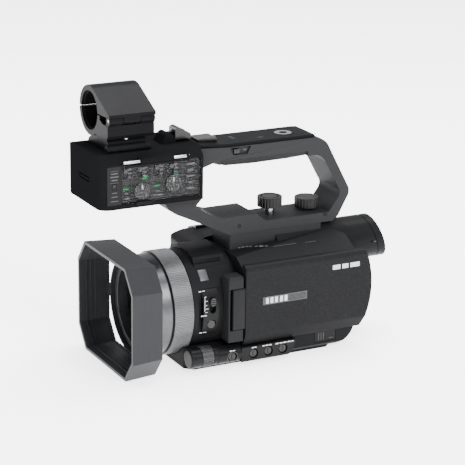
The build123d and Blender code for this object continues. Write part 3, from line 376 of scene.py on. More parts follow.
def printed(name, facing, level, marks, material, body, height=0.06):
    """Raised print on a flat face: each mark has its middle, in the face's two directions, and its size."""
    axis = "XYZ".index(facing[1])
    piece = None
    for first, second, wide, tall in marks:
        place = [first, second]
        place.insert(axis, level)
        stretch = [wide, tall]
        stretch.insert(axis, 1)
        if piece:
            select_only(piece)
            bpy.ops.object.mode_set(mode="EDIT")
        else:
            bpy.ops.object.select_all(action="DESELECT")
        spot = Vector(place) * MM
        bpy.ops.mesh.primitive_plane_add(size=MM, location=spot, rotation=TURNS[facing])
        if not piece:
            piece = bpy.context.active_object
            piece.name = name
            bpy.ops.object.transform_apply(location=True, rotation=True, scale=True)
            bpy.ops.object.mode_set(mode="EDIT")
        bpy.ops.transform.resize(value=stretch, center_override=spot)
        bpy.ops.object.mode_set(mode="OBJECT")
    inked(piece, height)
    settle(piece, body, material)


def screw(name, centre, axis, radius, body):
    """A pan head screw with a driver socket."""
    profile = [(-0.3, 0.0), (-0.3, radius * 0.42), (0.25, radius * 0.5), (0.3, radius * 0.62),
               (0.22, radius * 0.88), (0.0, radius), (-0.4, radius)]
    turned(name, centre, axis, profile, screw_black, body, 24)


casing_black = moulded("casing_black", (0.0062, 0.0063, 0.0068), 0.42, grain=3200.0)
for node in ("left_shell", "right_shell", "front_housing", "lens_cradle", "rear_cover", "battery_pack",
             "base_plate"):
    rounded(node, 0.5 * MM, 3, casing_black)
platform_grey = moulded("platform_grey", (0.015, 0.0153, 0.016), 0.5, grain=2800.0)
rounded("top_platform", 0.4 * MM, 2, platform_grey)



def ink(name, thin, thick):
    """Screen print whose cover changes a little, between two colours."""
    finish = Finish(name, thick, 0.5)
    finish.set("Base Color", finish.blend(finish.noise(900.0), thin, thick))
    return finish.material


ink_white = ink("ink_white", (0.32, 0.33, 0.34), (0.6, 0.61, 0.62))
ink_pale = ink("ink_pale", (0.09, 0.09, 0.094), (0.18, 0.18, 0.186))
ink_grey = ink("ink_grey", (0.035, 0.035, 0.037), (0.08, 0.08, 0.083))
screw_black = moulded("screw_black", (0.006, 0.006, 0.0065), 0.3, grain=5000.0, depth=0.00001)

# The rear cover has a row of rubber jack covers, a release catch for the battery and screws at its corners.
rubber_black = moulded("rubber_black", (0.0026, 0.0026, 0.0028), 0.62, grain=1800.0)
for number, (low_z, high_z) in enumerate(((38.5, 50.5), (28.0, 37.7), (17.5, 27.2))):
    slab("jack_cover_%d" % number, (24.2, 75.6, low_z), (34.4, 77.4, high_z), rubber_black, "root", 0.5,
         (0, 1, 0), 0.9, 0.25, 3)
jack_dashes = [(29.3, z, wide, 0.6) for z, wide in ((41.5, 5.0), (30.6, 4.0), (20.2, 6.0))]
printed("jack_marks", "+Y", 77.4, jack_dashes, ink_grey, "root")
slab("battery_catch", (-17.5, 76.0, 51.2), (-6.0, 78.2, 56.0), rubber_black, "root", 0.5, (0, 1, 0), 0.8, 0.3)
for number, (x, z) in enumerate(((-50.5, 21.0), (-28.0, 17.0), (-24.0, 48.0), (22.8, 15.6))):
    screw("rear_screw_%d" % number, (x, 76.0, z), (0, 1, 0), 1.7, "root")
slab("battery_label", (-13.5, 96.7, 24.0), (15.5, 97.15, 43.0), ink_grey, "root", 0.12, (0, 1, 0), 1.0, 0.1)
label_lines = [(1.0, 39.5 - 2.6 * row, wide, 0.7) for row, wide in enumerate((20, 16, 22, 12, 18))]
printed("battery_lines", "+Y", 97.1, label_lines, platform_grey, "root")

# ------------------------------------------------------------------ hood
# Octagonal lens hood, moulded in one piece with stepped light traps and a web with four corner windows.
# The outside is satin grey-black with a vertical draw grain; the inside is deep matte.
hood_finish = Finish("hood_satin", (0.016, 0.0165, 0.018), 0.42)
hood_finish.set("Specular IOR Level", 0.12)
stretched = hood_finish.node("Mapping", 0, inputs={"Vector": hood_finish.place(), "Scale": (1, 1, 0.06)})
streaks = hood_finish.noise(1500.0, 3.0, stretched)
patches = hood_finish.noise(30.0)
draw_lines = streaks * 0.6 + patches * 0.4
hood_finish.set("Base Color", hood_finish.blend(draw_lines, (0.011, 0.0115, 0.0126), (0.022, 0.0228, 0.025)))
hood_finish.set("Roughness", streaks * 0.12 + 0.36)
hood_finish.bump(streaks, 0.00002)
rounded("lens_hood", 0.35 * MM, 2, hood_finish.material, merge=False)

# ------------------------------------------------------------------ lens rings
# The manual ring is turned metal with fine milled ribs, and turns on the lens barrel.
# The filter ring in front of it is brushed on a lathe and anodised black; it is screwed to the barrel.
rib_metal = Finish("ribbed_metal", (0.055, 0.056, 0.058), 0.36, 0.75)
brush = rib_metal.noise(900.0, 4.0)
rib_metal.set("Base Color", rib_metal.blend(brush, (0.07, 0.071, 0.074), (0.17, 0.172, 0.178)))
rib_metal.set("Roughness", brush * 0.2 + 0.28)
rounded("manual_ring", 0.12 * MM, 1, rib_metal.material)

ring_metal = Finish("brushed_ring", (0.06, 0.06, 0.062), 0.3, 0.8)
along = ring_metal.node("Mapping", 0, inputs={"Vector": ring_metal.place(), "Scale": (0.15, 1, 0.15)})
lathe_lines = ring_metal.noise(2600.0, 3.0, along)
ring_metal.set("Base Color", ring_metal.blend(lathe_lines, (0.04, 0.04, 0.042), (0.11, 0.11, 0.115)))
ring_metal.set("Roughness", lathe_lines * 0.2 + 0.24)
rounded("front_ring", 0.25 * MM, 2, ring_metal.material)
finished(frame["nodes"]["lens_barrel"], casing_black)

# The name ring behind the filter thread carries short plain dashes where such rings are lettered.
ring_black = moulded("ring_black", (0.0022, 0.0022, 0.0024), 0.34, grain=4000.0)
turned("name_ring", (0, -80.4, LENS_HEIGHT), (0, -1, 0),
       [(-0.9, 30.6), (0.5, 30.6), (0.7, 30.2), (0.2, 27.4), (-0.2, 23.2), (-0.9, 22.6), (-0.9, 30.6)],
       ring_black, "root", 96)


def arc_marks(name, radius, level, marks, material, body):
    """Small print round a lens ring: each mark has its angle in degrees and its length in mm."""
    piece = None
    for degrees_round, long in marks:
        turn = radians(degrees_round)
        place = Vector((radius * sin(turn), level, LENS_HEIGHT + radius * cos(turn))) * MM
        if piece:
            select_only(piece)
            bpy.ops.object.mode_set(mode="EDIT")
        else:
            bpy.ops.object.select_all(action="DESELECT")
        bpy.ops.mesh.primitive_plane_add(size=MM, location=place, rotation=(pi / 2, 0, 0))
        if not piece:
            piece = bpy.context.active_object
            piece.name = name
            bpy.ops.object.transform_apply(location=True, rotation=True, scale=True)
            bpy.ops.object.mode_set(mode="EDIT")
        bpy.ops.transform.resize(value=(long, 1, 0.9), center_override=place)
        around = Matrix.Rotation(turn, 3, "Y")
        bpy.ops.object.mode_set(mode="OBJECT")
        for corner in list(piece.data.vertices)[-4:]:
            corner.co = place + around @ (corner.co - place)
    inked(piece, 0.06)
    settle(piece, body, material)


upper_arc = []
for index, angle in enumerate(range(-84, 88, 7)):
    if index % 6 != 5:
        upper_arc.append((angle, (1.6, 2.6, 1.2, 2.2)[index % 4]))
lower_arc = [(180 + angle, 1.8) for angle in range(-40, 44, 8)]
arc_marks("name_ring_marks", 26.2, -80.75, upper_arc + lower_arc, ink_white, "root")

# A small plain satin plate, without any lettering, is glued to the flank of the lens housing.
satin_plate = Finish("satin_plate", (0.07, 0.072, 0.076), 0.4, Metallic=0.6)
wear = satin_plate.noise(260.0)
satin_plate.set("Base Color", satin_plate.blend(wear, (0.055, 0.057, 0.06), (0.09, 0.092, 0.097)))


def curved_plate(name, front_y, rear_y, low_z, high_z, proud, material, body):
    """A thin plate that follows the round of the lens housing."""
    first, last = [asin((z - LENS_HEIGHT) / HOUSING_RADIUS) for z in (low_z, high_z)]
    corners, faces, steps = [], [], 8
    for level in (HOUSING_RADIUS - 0.4, HOUSING_RADIUS + proud):
        for step in range(steps + 1):
            angle = first + (last - first) * step / steps
            for y in (front_y, rear_y):
                corners.append(Vector((level * cos(angle), y, LENS_HEIGHT + level * sin(angle))) * MM)
    upper = 2 * (steps + 1)
    for step in range(steps):
        a = 2 * step
        faces.append((a, a + 1, a + 3, a + 2))
        faces.append((upper + a, upper + a + 2, upper + a + 3, upper + a + 1))
        faces.append((a, a + 2, upper + a + 2, upper + a))
        faces.append((a + 1, upper + a + 1, upper + a + 3, a + 3))
    a = 2 * steps
    faces += [(0, upper, upper + 1, 1), (a, a + 1, upper + a + 1, upper + a)]
    piece = meshed(name, corners, faces)
    outward(piece)
    bevelled(piece, 0.12)
    settle(piece, body, material)


curved_plate("plain_plate", -50.7, -44.2, 64.8, 71.2, 0.28, satin_plate.material, "root")

# ------------------------------------------------------------------ glass
# Ground glass with a vacuum coating: the front element, the rear group and the eye lens.
# All three look nearly black from outside, with a faint blue-green sheen.
lens_glass = Finish("coated_glass", (0.01, 0.014, 0.02), 0.04, Coat_Weight=1.0, Coat_Roughness=0.02)
sheen = lens_glass.noise(14.0, 1.0)
lens_glass.set("Base Color", lens_glass.blend(sheen, (0.004, 0.006, 0.012), (0.012, 0.03, 0.028)))
for node in ("front_lens", "rear_lens_group", "viewfinder_lens"):
    finished(frame["nodes"][node], lens_glass.material)

# ------------------------------------------------------------------ printed body marks
# A thin printed line and a few plain dashes run along the shoulder of the body, above the monitor.
# The shoulder slopes down from the platform, so this print lies on the slope.
def sloped_print(name, marks, top, foot, material, body):
    """Print on the body's sloping shoulder, which falls from the top to the foot, both as X and Z in mm.

    Each mark has its middle and its length along Y, its share of the way down the slope, and its width.
    """
    start, end = Vector((top[0], 0, top[1])), Vector((foot[0], 0, foot[1]))
    slope = (end - start).normalized()
    out = Vector((-slope.z, 0, slope.x))
    corners, faces = [], []
    for middle, long, down, wide in marks:
        base = start.lerp(end, down) + Vector((0, middle, 0)) + out * 0.05
        first = len(corners)
        for step_y, step_down in ((-1, -1), (1, -1), (1, 1), (-1, 1)):
            corners.append((base + Vector((0, step_y * long / 2, 0)) + slope * (step_down * wide / 2)) * MM)
        faces.append((first, first + 1, first + 2, first + 3))
    piece = meshed(name, corners, faces)
    inked(piece, 0.08, 0)
    settle(piece, body, material)


shoulder_marks = [(20.4, 19.0, 0.44, 0.35), (41.5, 9.0, 0.46, 0.35), (-15.6, 1.6, 0.3, 0.9),
                  (-12.6, 2.4, 0.3, 0.9), (-9.4, 2.0, 0.3, 0.9), (-6.6, 1.8, 0.31, 0.9),
                  (-2.2, 2.2, 0.34, 0.9), (1.6, 3.4, 0.36, 1.5), (5.6, 2.4, 0.38, 0.9)]
sloped_print("shoulder_line", shoulder_marks, (15.5, 87.0), (39.0, 74.0), ink_grey, "root")

# ------------------------------------------------------------------ monitor
# The cover is painted metal with a fine speckle; behind it a black bezel holds the screen, on a hinge arm.
# A plain inlaid bar with five light blocks and three plain marks near the corner finish the cover.
monitor_paint = Finish("monitor_paint", (0.007, 0.007, 0.0075), 0.48)
monitor_paint.set("Specular IOR Level", 0.05)
fleck_cells = monitor_paint.noise(1900.0, 2.0)
flecks = fleck_cells > 0.6
soft = monitor_paint.noise(26.0, 3.0)
ground = monitor_paint.blend(soft, (0.0052, 0.0053, 0.0057), (0.0078, 0.008, 0.0085))
monitor_paint.set("Base Color", monitor_paint.blend(flecks * 0.5, ground, (0.022, 0.022, 0.0235)))
monitor_paint.set("Roughness", fleck_cells * 0.3 + 0.36)
monitor_paint.bump(fleck_cells, 0.00006)
rounded("monitor_cover", 0.8 * MM, 4, monitor_paint.material)
slab("monitor_inlay", (45.4, -8.0, 45.0), (46.18, 28.6, 51.2), ink_grey, "monitor", 0.12, (1, 0, 0), 0.35,
     0.12)
for number, (front_y, rear_y) in enumerate(((-5.6, -3.2), (-1.9, 0.5), (1.8, 4.2), (6.0, 8.4), (9.7, 12.1))):
    slab("inlay_block_%d" % number, (45.75, front_y, 45.9), (46.26, rear_y, 50.3), ink_white, "monitor", 0.1,
         (1, 0, 0), 0.4, 0.06)
printed("inlay_lines", "+X", 46.07, [(20.4, 46.2 + 0.95 * row, 14.0, 0.25) for row in range(5)], platform_grey,
        "monitor", 0.08)
for number, (front_y, rear_y) in enumerate(((49.8, 56.2), (57.8, 63.0), (64.6, 72.6))):
    slab("corner_mark_%d" % number, (45.8, front_y, 63.9), (46.1, rear_y, 67.4), ink_white, "monitor", 0.05,
         (1, 0, 0), 0.9, 0.06)
rounded("hinge_block", 0.8 * MM, 3, moulded("hinge_black", (0.011, 0.0112, 0.012), 0.42))
rounded("monitor_arm", 0.3 * MM, 2, moulded("arm_black", (0.006, 0.0062, 0.0066), 0.42))
slab("arm_plate", (45.3, -31.7, 29.6), (45.85, -22.6, 59.4),
     moulded("plate_grey", (0.011, 0.011, 0.0117), 0.46), "monitor", 0.15)
bezel_black = moulded("bezel_black", (0.003, 0.003, 0.0033), 0.3)
rounded("monitor_bezel", 0.3 * MM, 2, bezel_black)
screen_glass = Finish("screen_glass", (0.002, 0.002, 0.0026), 0.06, Coat_Weight=1.0)
screen_glass.set("Roughness", screen_glass.noise(60.0, 4.0) * 0.05 + 0.04)
rounded("monitor_screen", 0.2 * MM, 1, screen_glass.material)
for number, z in enumerate((31.5, 37.5, 43.5)):
    slab("menu_key_%d" % number, (38.95, 75.6, z), (39.9, 78.2, z + 4.2), rubber_black, "monitor", 0.3,
         (-1, 0, 0), 0.5, 0.15)

# ------------------------------------------------------------------ controls
# Small mouldings, glossier than the casing: deck, dial pod, switch panel, audio panel and terminal door.
# Buttons, sliders and dials are glossier again, and the wheel is knurled metal.
control_black = moulded("control_black", (0.0034, 0.0034, 0.0037), 0.3, gloss=0.1, grain=4200.0, depth=0.00002)
for node in ("control_deck", "dial_pod", "switch_panel", "terminal_door", "audio_panel"):
    rounded(node, 0.25 * MM, 2, control_black)
button_black = moulded("button_black", (0.0042, 0.0042, 0.0045), 0.22, gloss=0.3, grain=5000.0, depth=0.00001)
for node in frame["nodes"]:
    if node.startswith(("deck_button", "input_switch", "level_dial")):
        rounded(node, 0.12 * MM, 2, button_black)
for node in ("focus_selector", "focus_button", "grip_zoom_rocker", "handle_zoom_rocker", "handle_speed_slide",
             "handle_record_button"):
    rounded(node, 0.15 * MM, 2, button_black)
wheel_metal = Finish("wheel_metal", (0.05, 0.05, 0.052), 0.3, 0.7)
knurl_wear = wheel_metal.noise(700.0)
wheel_metal.set("Base Color", wheel_metal.blend(knurl_wear, (0.02, 0.02, 0.021), (0.08, 0.08, 0.083)))
rounded("dial_wheel", 0.15 * MM, 2, wheel_metal.material)
record_red = moulded("record_red", (0.12, 0.004, 0.004), 0.35)
rounded("record_button", 0.2 * MM, 2, record_red)
turned("record_dish", (-44.0, 78.0, 52.0), (0, 1, 0),
       [(-0.4, 0.0), (-0.25, 2.5), (0.0, 4.4), (0.0, 4.9), (-0.6, 5.2)], record_red, "record_button")

# Each deck button has a moulded bar across it, and round it a lighter grey ring stands for the glint on the
# rim of its recess: a painted highlight.
for number, (y, z) in enumerate(((-14.7, 9.0), (-2.6, 9.0), (9.5, 9.0), (-32.0, 9.0)), start=1):
    slab("button_bar_%d" % number, (45.0, y - 0.55, z - 2.0), (45.6, y + 0.55, z + 2.0), button_black,
         "deck_button_%d" % number, 0.2, (1, 0, 0), 0.2, 0.1)
    turned("painted_glint_ring_%d" % number, (45.75, y, z), (1, 0, 0),
           [(0.0, 3.7), (0.22, 3.75), (0.25, 4.1), (0.0, 4.3), (-0.2, 4.0), (0.0, 3.7)], ink_grey, "root", 40)
printed("deck_marks", "+X", 46.0,
        [(-15.6, 13.7, 1.5, 0.8), (-13.5, 13.7, 1.5, 0.8), (-6.6, 13.7, 2.0, 0.8), (-3.9, 13.7, 2.2, 0.8),
         (-1.2, 13.7, 2.0, 0.8), (4.4, 13.7, 2.6, 0.8), (7.7, 13.7, 2.4, 0.8), (10.9, 13.7, 2.8, 0.8),
         (14.4, 13.7, 2.6, 0.8), (17.3, 13.7, 1.6, 0.8)], ink_white, "root")
printed("drum_marks", "+X", 45.95, [(-33.6, 14.0, 1.6, 0.7), (-31.2, 14.0, 1.8, 0.7)], ink_white, "root", 0.1)
printed("door_marks", "+X", 39.0,
        [(43.5, 10.4, 0.5, 5.6), (45.5, 10.4, 0.5, 5.6), (47.5, 10.4, 0.5, 5.6), (54.0, 8.2, 3.6, 0.5)],
        ink_grey, "terminal_door")

# The switch panel carries a scale of short strokes beside its slider, and short printed dashes at each end.
def panel_depth(z):
    """How far the round switch panel stands out from the middle at a height, in mm."""
    return SWITCH_PANEL_RADIUS * cos(asin((z - LENS_HEIGHT) / SWITCH_PANEL_RADIUS))


panel_dashes = [(-53.2, 58.6, 2.0, 0.7), (-50.6, 58.6, 2.2, 0.7), (-53.2, 41.2, 1.8, 0.7),
                (-50.8, 41.2, 2.4, 0.7), (-52.6, 27.5, 2.2, 0.7), (-49.8, 27.5, 2.6, 0.7)]
for y, z, wide, tall in panel_dashes:
    deep = panel_depth(z)
    slab("panel_mark_%d_%d" % (-y, z), (deep - 0.25, y - wide / 2, z - tall / 2),
         (deep + 0.05, y + wide / 2, z + tall / 2), ink_white, "root", 0.05)
for number, z in enumerate((54.5, 51.5, 48.5, 46.0, 43.5)):
    deep = panel_depth(z)
    end_y = -48.2 if number in (1, 3) else -49.0
    slab("scale_stroke_%d" % number, (deep - 0.2, -50.6, z - 0.2), (deep + 0.06, end_y, z + 0.2), ink_white,
         "root", 0.04)
slab("scale_line", (38.2, -51.2, 43.3), (38.45, -50.9, 54.7), ink_white, "root", 0.04)

# ------------------------------------------------------------------ viewfinder
# A sliding tube with a slanted end: its cap is a separate ring behind a narrow seam, with a soft lip inside.
# The tube is the same moulded black as the casing, with a finer grain and a little more gloss.
finder_black = moulded("finder_black", (0.0065, 0.0066, 0.007), 0.36, grain=3600.0, depth=0.00002)
rounded("viewfinder_barrel", 0.3 * MM, 2, finder_black)
rounded("viewfinder_cap", 0.6 * MM, 3, finder_black)
turned("eye_gasket", (FINDER_AXIS_X, 95.6, FINDER_AXIS_Z), (0, 1, 0),
       [(0.0, 14.1), (1.6, 14.1), (1.9, 13.2), (1.2, 11.4), (0.2, 10.6), (0.0, 14.1)], rubber_black,
       "viewfinder", 72)

# The dioptre lever and its slot are nearly flush with the tube, so that the tube can slide in.
slab("dioptre_slot", (19.6, 97.2, 71.1), (20.72, 104.6, 72.7), rubber_black, "viewfinder", 0.3)
slab("dioptre_lever", (19.8, 100.0, 71.2), (20.84, 102.2, 72.6), button_black, "viewfinder", 0.2)

# ------------------------------------------------------------------ handle
# A moulded grey frame with a dark cover set into its top and a threaded steel insert in the cover.
# Two fluted thumb screws with steel shanks clamp it to the platform.
handle_grey = moulded("handle_grey", (0.017, 0.0173, 0.018), 0.5, grain=2400.0)
rounded("handle_frame", 2.2 * MM, 4, handle_grey)
cover_black = moulded("cover_black", (0.0036, 0.0037, 0.004), 0.5)
rounded("handle_cover", 0.5 * MM, 2, cover_black)
knob_black = moulded("knob_black", (0.0034, 0.0034, 0.0037), 0.3, gloss=0.15)
bright = Finish("turned_steel", (0.62, 0.62, 0.63), 0.22, 1.0)
turning = bright.noise(1800.0, 3.0)
bright.set("Roughness", turning * 0.2 + 0.14)
bright.set("Base Color", bright.blend(turning, (0.3, 0.3, 0.31), (0.5, 0.5, 0.51)))
for node, y, low, top in (("front_thumb_screw", 21.0, 97.5, 112.0), ("rear_thumb_screw", 52.5, 98.4, 107.7)):
    rounded(node, 0.2 * MM, 1, knob_black)
    knob_foot = top - low - 7.6
    turned(node + "_shank", (0, y, low), (0, 0, 1),
           [(0.0, 3.42), (0.2, 3.6), (knob_foot - 0.7, 3.6), (knob_foot - 0.4, 5.4), (knob_foot, 5.4),
            (knob_foot, 3.2), (0.0, 3.2), (0.0, 3.42)], bright.material, node, 40)
    turned(node + "_cap", (0, y, top), (0, 0, 1),
           [(-0.2, 0.0), (-0.2, 5.6), (0.0, 6.0), (0.0, 6.9), (-0.3, 7.3), (-0.5, 7.3)], knob_black, node, 48)
for node in ("thread_bushes", "hinge_pins"):
    finished(frame["nodes"][node], bright.material)

# The cover has two shallow slots beside the threaded insert and plain marks; a red dot is on the button.
for number, x in enumerate((-9.6, 9.6)):
    slab("cover_slot_%d" % number, (x - 1.3, 23.5, 159.0), (x + 1.3, 43.5, 159.34), rubber_black, "root", 0.15,
         (0, 0, 1), 0.4, 0.18)
turned("insert_collar", (0, 31.0, COVER_TOP), (0, 0, 1),
       [(-0.1, 6.4), (0.12, 6.6), (0.15, 8.2), (-0.1, 8.5), (-0.1, 6.4)], cover_black, "root", 48)
printed("cover_marks", "+Z", COVER_TOP + 0.03,
        [(-4.0, -10.6, 0.9, 3.2), (-1.5, -10.6, 0.9, 3.2), (1.5, -10.6, 0.9, 3.2), (5.5, 9.0, 0.5, 5.0),
         (7.0, 9.0, 0.5, 3.4)], ink_grey, "root")
turned("record_dot", (0.0, -50.6, 170.05), (0, 0.49, 0.87),
       [(-0.4, 0.0), (0.3, 0.0), (0.28, 1.0), (0.1, 1.6), (-0.4, 1.7)], record_red, "handle_record_button", 32)
for number, y in enumerate((-16.6, -7.4)):
    slab("slide_window_%d" % number, (13.0, y - 1.3, 152.9), (13.48, y + 1.3, 154.3), ink_grey, "root", 0.1)
for number, y in enumerate((-16.3, -15.1, -13.9)):
    slab("slide_ridge_%d" % number, (15.55, y - 0.3, 152.3), (15.95, y + 0.3, 154.9), button_black,
         "handle_speed_slide", 0.12)

# The handle's foot slides on a rail along the platform, and a dark line shows between them.
rail_grey = moulded("rail_grey", (0.0075, 0.0077, 0.008), 0.46)
slab("foot_rail", (15.1, 3.0, 88.2), (15.48, 56.8, 90.7), rail_grey, "root", 0.15, (1, 0, 0), 0.5, 0.2)
for number, y in enumerate((-12.0, 60.0)):
    screw("foot_screw_%d" % number, (15.5, y, 97.0), (1, 0, 0), 1.5, "root")

# ------------------------------------------------------------------ audio unit
# A moulded box on the front of the handle, with a panel behind a clear hinged door and two sockets.
# The panel is screen printed with cell outlines, plain dashes, and green strokes at the automatic positions.
box_black = moulded("box_black", (0.0048, 0.0049, 0.0053), 0.5, gloss=0.0)
rounded("audio_box", 0.9 * MM, 4, box_black)
finished(frame["nodes"]["door_hinge"], box_black)
ink_green = ink("ink_green", (0.008, 0.16, 0.05), (0.015, 0.26, 0.08))
cells = []
for y0, y1, z0, z1 in ((-107.6, -85.4, 142.4, 153.6), (-84.6, -61.6, 142.4, 153.6),
                       (-107.6, -85.4, 129.0, 141.6), (-84.6, -61.6, 129.0, 141.6),
                       (-60.8, -49.6, 129.0, 153.6)):
    cells += [((y0 + y1) / 2, z0, y1 - y0, 0.22), ((y0 + y1) / 2, z1, y1 - y0, 0.22),
              (y0, (z0 + z1) / 2, 0.22, z1 - z0), (y1, (z0 + z1) / 2, 0.22, z1 - z0)]
ink_dim = ink("ink_dim", (0.04, 0.04, 0.041), (0.05, 0.05, 0.051))
printed("panel_cells", "+X", PANEL_FACE, cells, ink_dim, "root")
legends = []
for y in (-102.4, -91.0, -78.2, -66.6):
    for row in range(3):
        legends.append((y + 0.4 * (row % 2), 151.4 - 2.7 * row, 3.2 - 0.6 * (row % 3), 0.6))
for row in range(5):
    legends.append((-55.2, 150.4 - 4.4 * row, (6.0, 4.4, 5.2, 3.4)[row % 4], 0.7))
legends += [(-83.0, 131.0, 2.2, 0.7), (-104.0, 130.6, 3.4, 0.7), (-78.6, 130.6, 4.2, 0.7),
            (-104.8, 134.6, 2.2, 0.7), (-80.6, 133.6, 2.6, 0.7)]
printed("panel_legends", "+X", PANEL_FACE, legends, ink_pale, "root")
printed("panel_green", "+X", PANEL_FACE,
        [(-91.0, 143.9, 3.4, 0.9), (-90.0, 145.2, 2.6, 0.9), (-105.0, 137.6, 4.0, 0.9),
         (-81.6, 137.6, 3.8, 0.9), (-66.6, 144.0, 3.2, 0.9)], ink_green, "root")
for number, (y, z) in enumerate(((-93.2, 135.4), (-69.0, 138.2)), start=1):
    dial = "level_dial_%d" % number
    turned(dial + "_cap", (DIAL_FACE, y, z), (1, 0, 0),
           [(-0.3, 0.0), (-0.05, 1.0), (0.1, 3.2), (0.12, 4.6), (-0.1, 5.0), (-0.4, 5.0)], button_black, dial,
           40)
    slab(dial + "_pointer", (DIAL_FACE - 0.05, y - 0.3, z + 1.4), (DIAL_FACE + 0.18, y + 0.3, z + 4.4),
         ink_white, dial, 0.06)
    ticks = []
    for degrees_round in range(-120, 121, 40):
        turn = radians(degrees_round)
        tick_z = z + 7.3 * cos(turn)
        if tick_z > PANEL_FOOT:
            ticks.append((y + 7.3 * sin(turn), tick_z, 0.45, 0.45))
    printed(dial + "_scale", "+X", PANEL_FACE, ticks, ink_dim, "root")
for number, y in enumerate((-105.8, -94.5, -81.7, -70.2), start=1):
    slab("switch_tip_%d" % number, (23.5, y - 0.9, 150.2), (23.95, y + 0.9, 151.8), ink_grey,
         "input_switch_%d" % number, 0.12)

# The raised end of the panel has its own print and a small slide switch; a finger tab hangs under the door.
printed("end_marks", "+X", 24.0,
        [(-114.6, 152.0, 6.4, 0.25), (-114.6, 150.2, 5.2, 0.9), (-114.6, 147.9, 6.2, 0.9),
         (-114.6, 145.6, 4.6, 0.9), (-114.6, 143.6, 6.4, 0.25), (-114.6, 136.4, 3.6, 0.6),
         (-114.6, 133.6, 4.6, 0.6), (-114.6, 130.4, 5.6, 0.6)], ink_grey, "root")
slab("end_switch_well", (23.6, -116.5, 138.2), (24.08, -113.1, 143.0), rubber_black, "root", 0.1, (1, 0, 0),
     0.3, 0.25)
slab("end_switch", (23.7, -115.8, 140.4), (24.25, -113.8, 142.2), button_black, "root", 0.15, (1, 0, 0), 0.3,
     0.1)
clear = Finish("clear_door", (0.03, 0.031, 0.032), 0.05, Alpha=0.06)
clear.set("Roughness", clear.noise(90.0, 4.0) * 0.06 + 0.03)
clear.set("Specular IOR Level", 0.3)
rounded("audio_door", 0.25 * MM, 2, clear.material, merge=False)
tinted = Finish("door_band", (0.006, 0.006, 0.0065), 0.24)
tinted.set("Roughness", tinted.noise(400.0) * 0.1 + 0.2)
slab("door_band_upper", (24.9, -108.4, 154.0), (26.0, -57.6, 155.3), tinted.material, "audio_door", 0.3)
slab("door_tab", (24.5, -99.0, 125.9), (26.4, -87.0, 128.6), tinted.material, "audio_door", 0.5, (1, 0, 0),
     0.7, 0.2)
# Two bright steel sleeves on the clear door's hinge knuckles are a painted highlight: they stand for light
# caught on the clear knuckles.
for number, (front_y, rear_y) in enumerate(((-108.5, -96.3), (-69.9, -60.6))):
    long = rear_y - front_y
    turned("painted_highlight_sleeve_%d" % number, (25.9, front_y, 157.6), (0, 1, 0),
           [(0.0, 0.78), (0.0, 1.0), (0.2, 1.05), (long - 0.2, 1.05), (long, 1.0), (long, 0.78), (0.0, 0.78)],
           bright.material, "audio_door", 28)
slab("hinge_cover", (23.6, -95.9, 155.7), (27.7, -70.4, 159.6), box_black, "root", 1.2, segments=4)

# Sockets on the right: each has a ring, three bright contacts and a release lever.
rounded("xlr_sockets", 0.3 * MM, 2, moulded("socket_black", (0.0026, 0.0026, 0.0029), 0.36))
for number, y in enumerate(SOCKET_PLACES):
    turned("socket_ring_%d" % number, (-39.0, y, SOCKET_HEIGHT), (-1, 0, 0),
           [(-0.1, 9.5), (0.0, 9.4), (0.0, 10.4), (-0.3, 10.8), (-0.8, 9.6), (-0.1, 9.5)], bright.material,
           "root", 64)
    for pin in range(3):
        turn = radians(120 * pin + 90)
        turned("socket_contact_%d_%d" % (number, pin),
               (-25.6, y + 4.2 * cos(turn), SOCKET_HEIGHT + 4.2 * sin(turn)), (-1, 0, 0),
               [(0.0, 0.0), (0.0, 1.1), (4.6, 1.1), (5.2, 0.7), (5.4, 0.0)], bright.material, "root", 16)
    slab("socket_lever_%d" % number, (-38.98, y - 2.6, 153.2), (-38.2, y + 2.6, 155.4), bright.material,
         "root", 0.2, (-1, 0, 0), 0.5, 0.2)
printed("socket_marks", "-X", -38.0, [(y, 128.4, 5.0, 0.9) for y in SOCKET_PLACES], ink_grey, "root")
for number, z in enumerate((152.5, 133.5)):
    screw("box_screw_%d" % number, (-38.0, -87.0, z), (-1, 0, 0), 1.6, "root")

# A plain sunk bar lies across the front of the box.
mark_black = moulded("mark_black", (0.002, 0.002, 0.0022), 0.3)
slab("front_mark", (-14.0, -125.0, 140.2), (4.0, -124.8, 144.0), mark_black, "root", 0.08, (0, -1, 0), 0.9,
     0.08)

# ------------------------------------------------------------------ microphone clamp
# A hinged clamp ring on its base: the lid closes over a cradle and a pin holds the knuckles.
# A soft lining sits inside both halves, and a clamping screw shows bright between the cradle and the base.
clamp_black = moulded("clamp_black", (0.0034, 0.0034, 0.004), 0.36, grain=3600.0, depth=0.00002)
for node in ("mic_lid", "mic_cradle", "mic_base"):
    rounded(node, 0.5 * MM, 3, clamp_black)
LINING_SECTION = ((14.0, -113.6), (14.0, -81.0), (13.1, -81.6), (13.1, -113.0))
LINING_ARC = 164
LINING_STEPS = 24
for name, body, first in (("lid_lining", "mic_lid", 8), ("cradle_lining", "root", 188)):
    corners, faces = [], []
    for step in range(LINING_STEPS + 1):
        turn = radians(first + step * LINING_ARC / LINING_STEPS)
        for radius, y in LINING_SECTION:
            corners.append(Vector((CLAMP_X + radius * cos(turn), y, CLAMP_Z + radius * sin(turn))) * MM)
    for step in range(LINING_STEPS):
        a = 4 * step
        faces += [(a + i, a + (i + 1) % 4, a + 4 + (i + 1) % 4, a + 4 + i) for i in range(4)]
    faces += [(3, 2, 1, 0), tuple(4 * LINING_STEPS + i for i in range(4))]
    lining = meshed(name, corners, faces)
    outward(lining)
    settle(lining, body, rubber_black, 50)
turned("clamp_screw", (9.6, -100.0, 171.2), (0, 0, 1),
       [(-0.4, 0.0), (0.1, 0.0), (0.25, 1.2), (0.1, 2.6), (-0.4, 2.9)], bright.material, "root", 32)
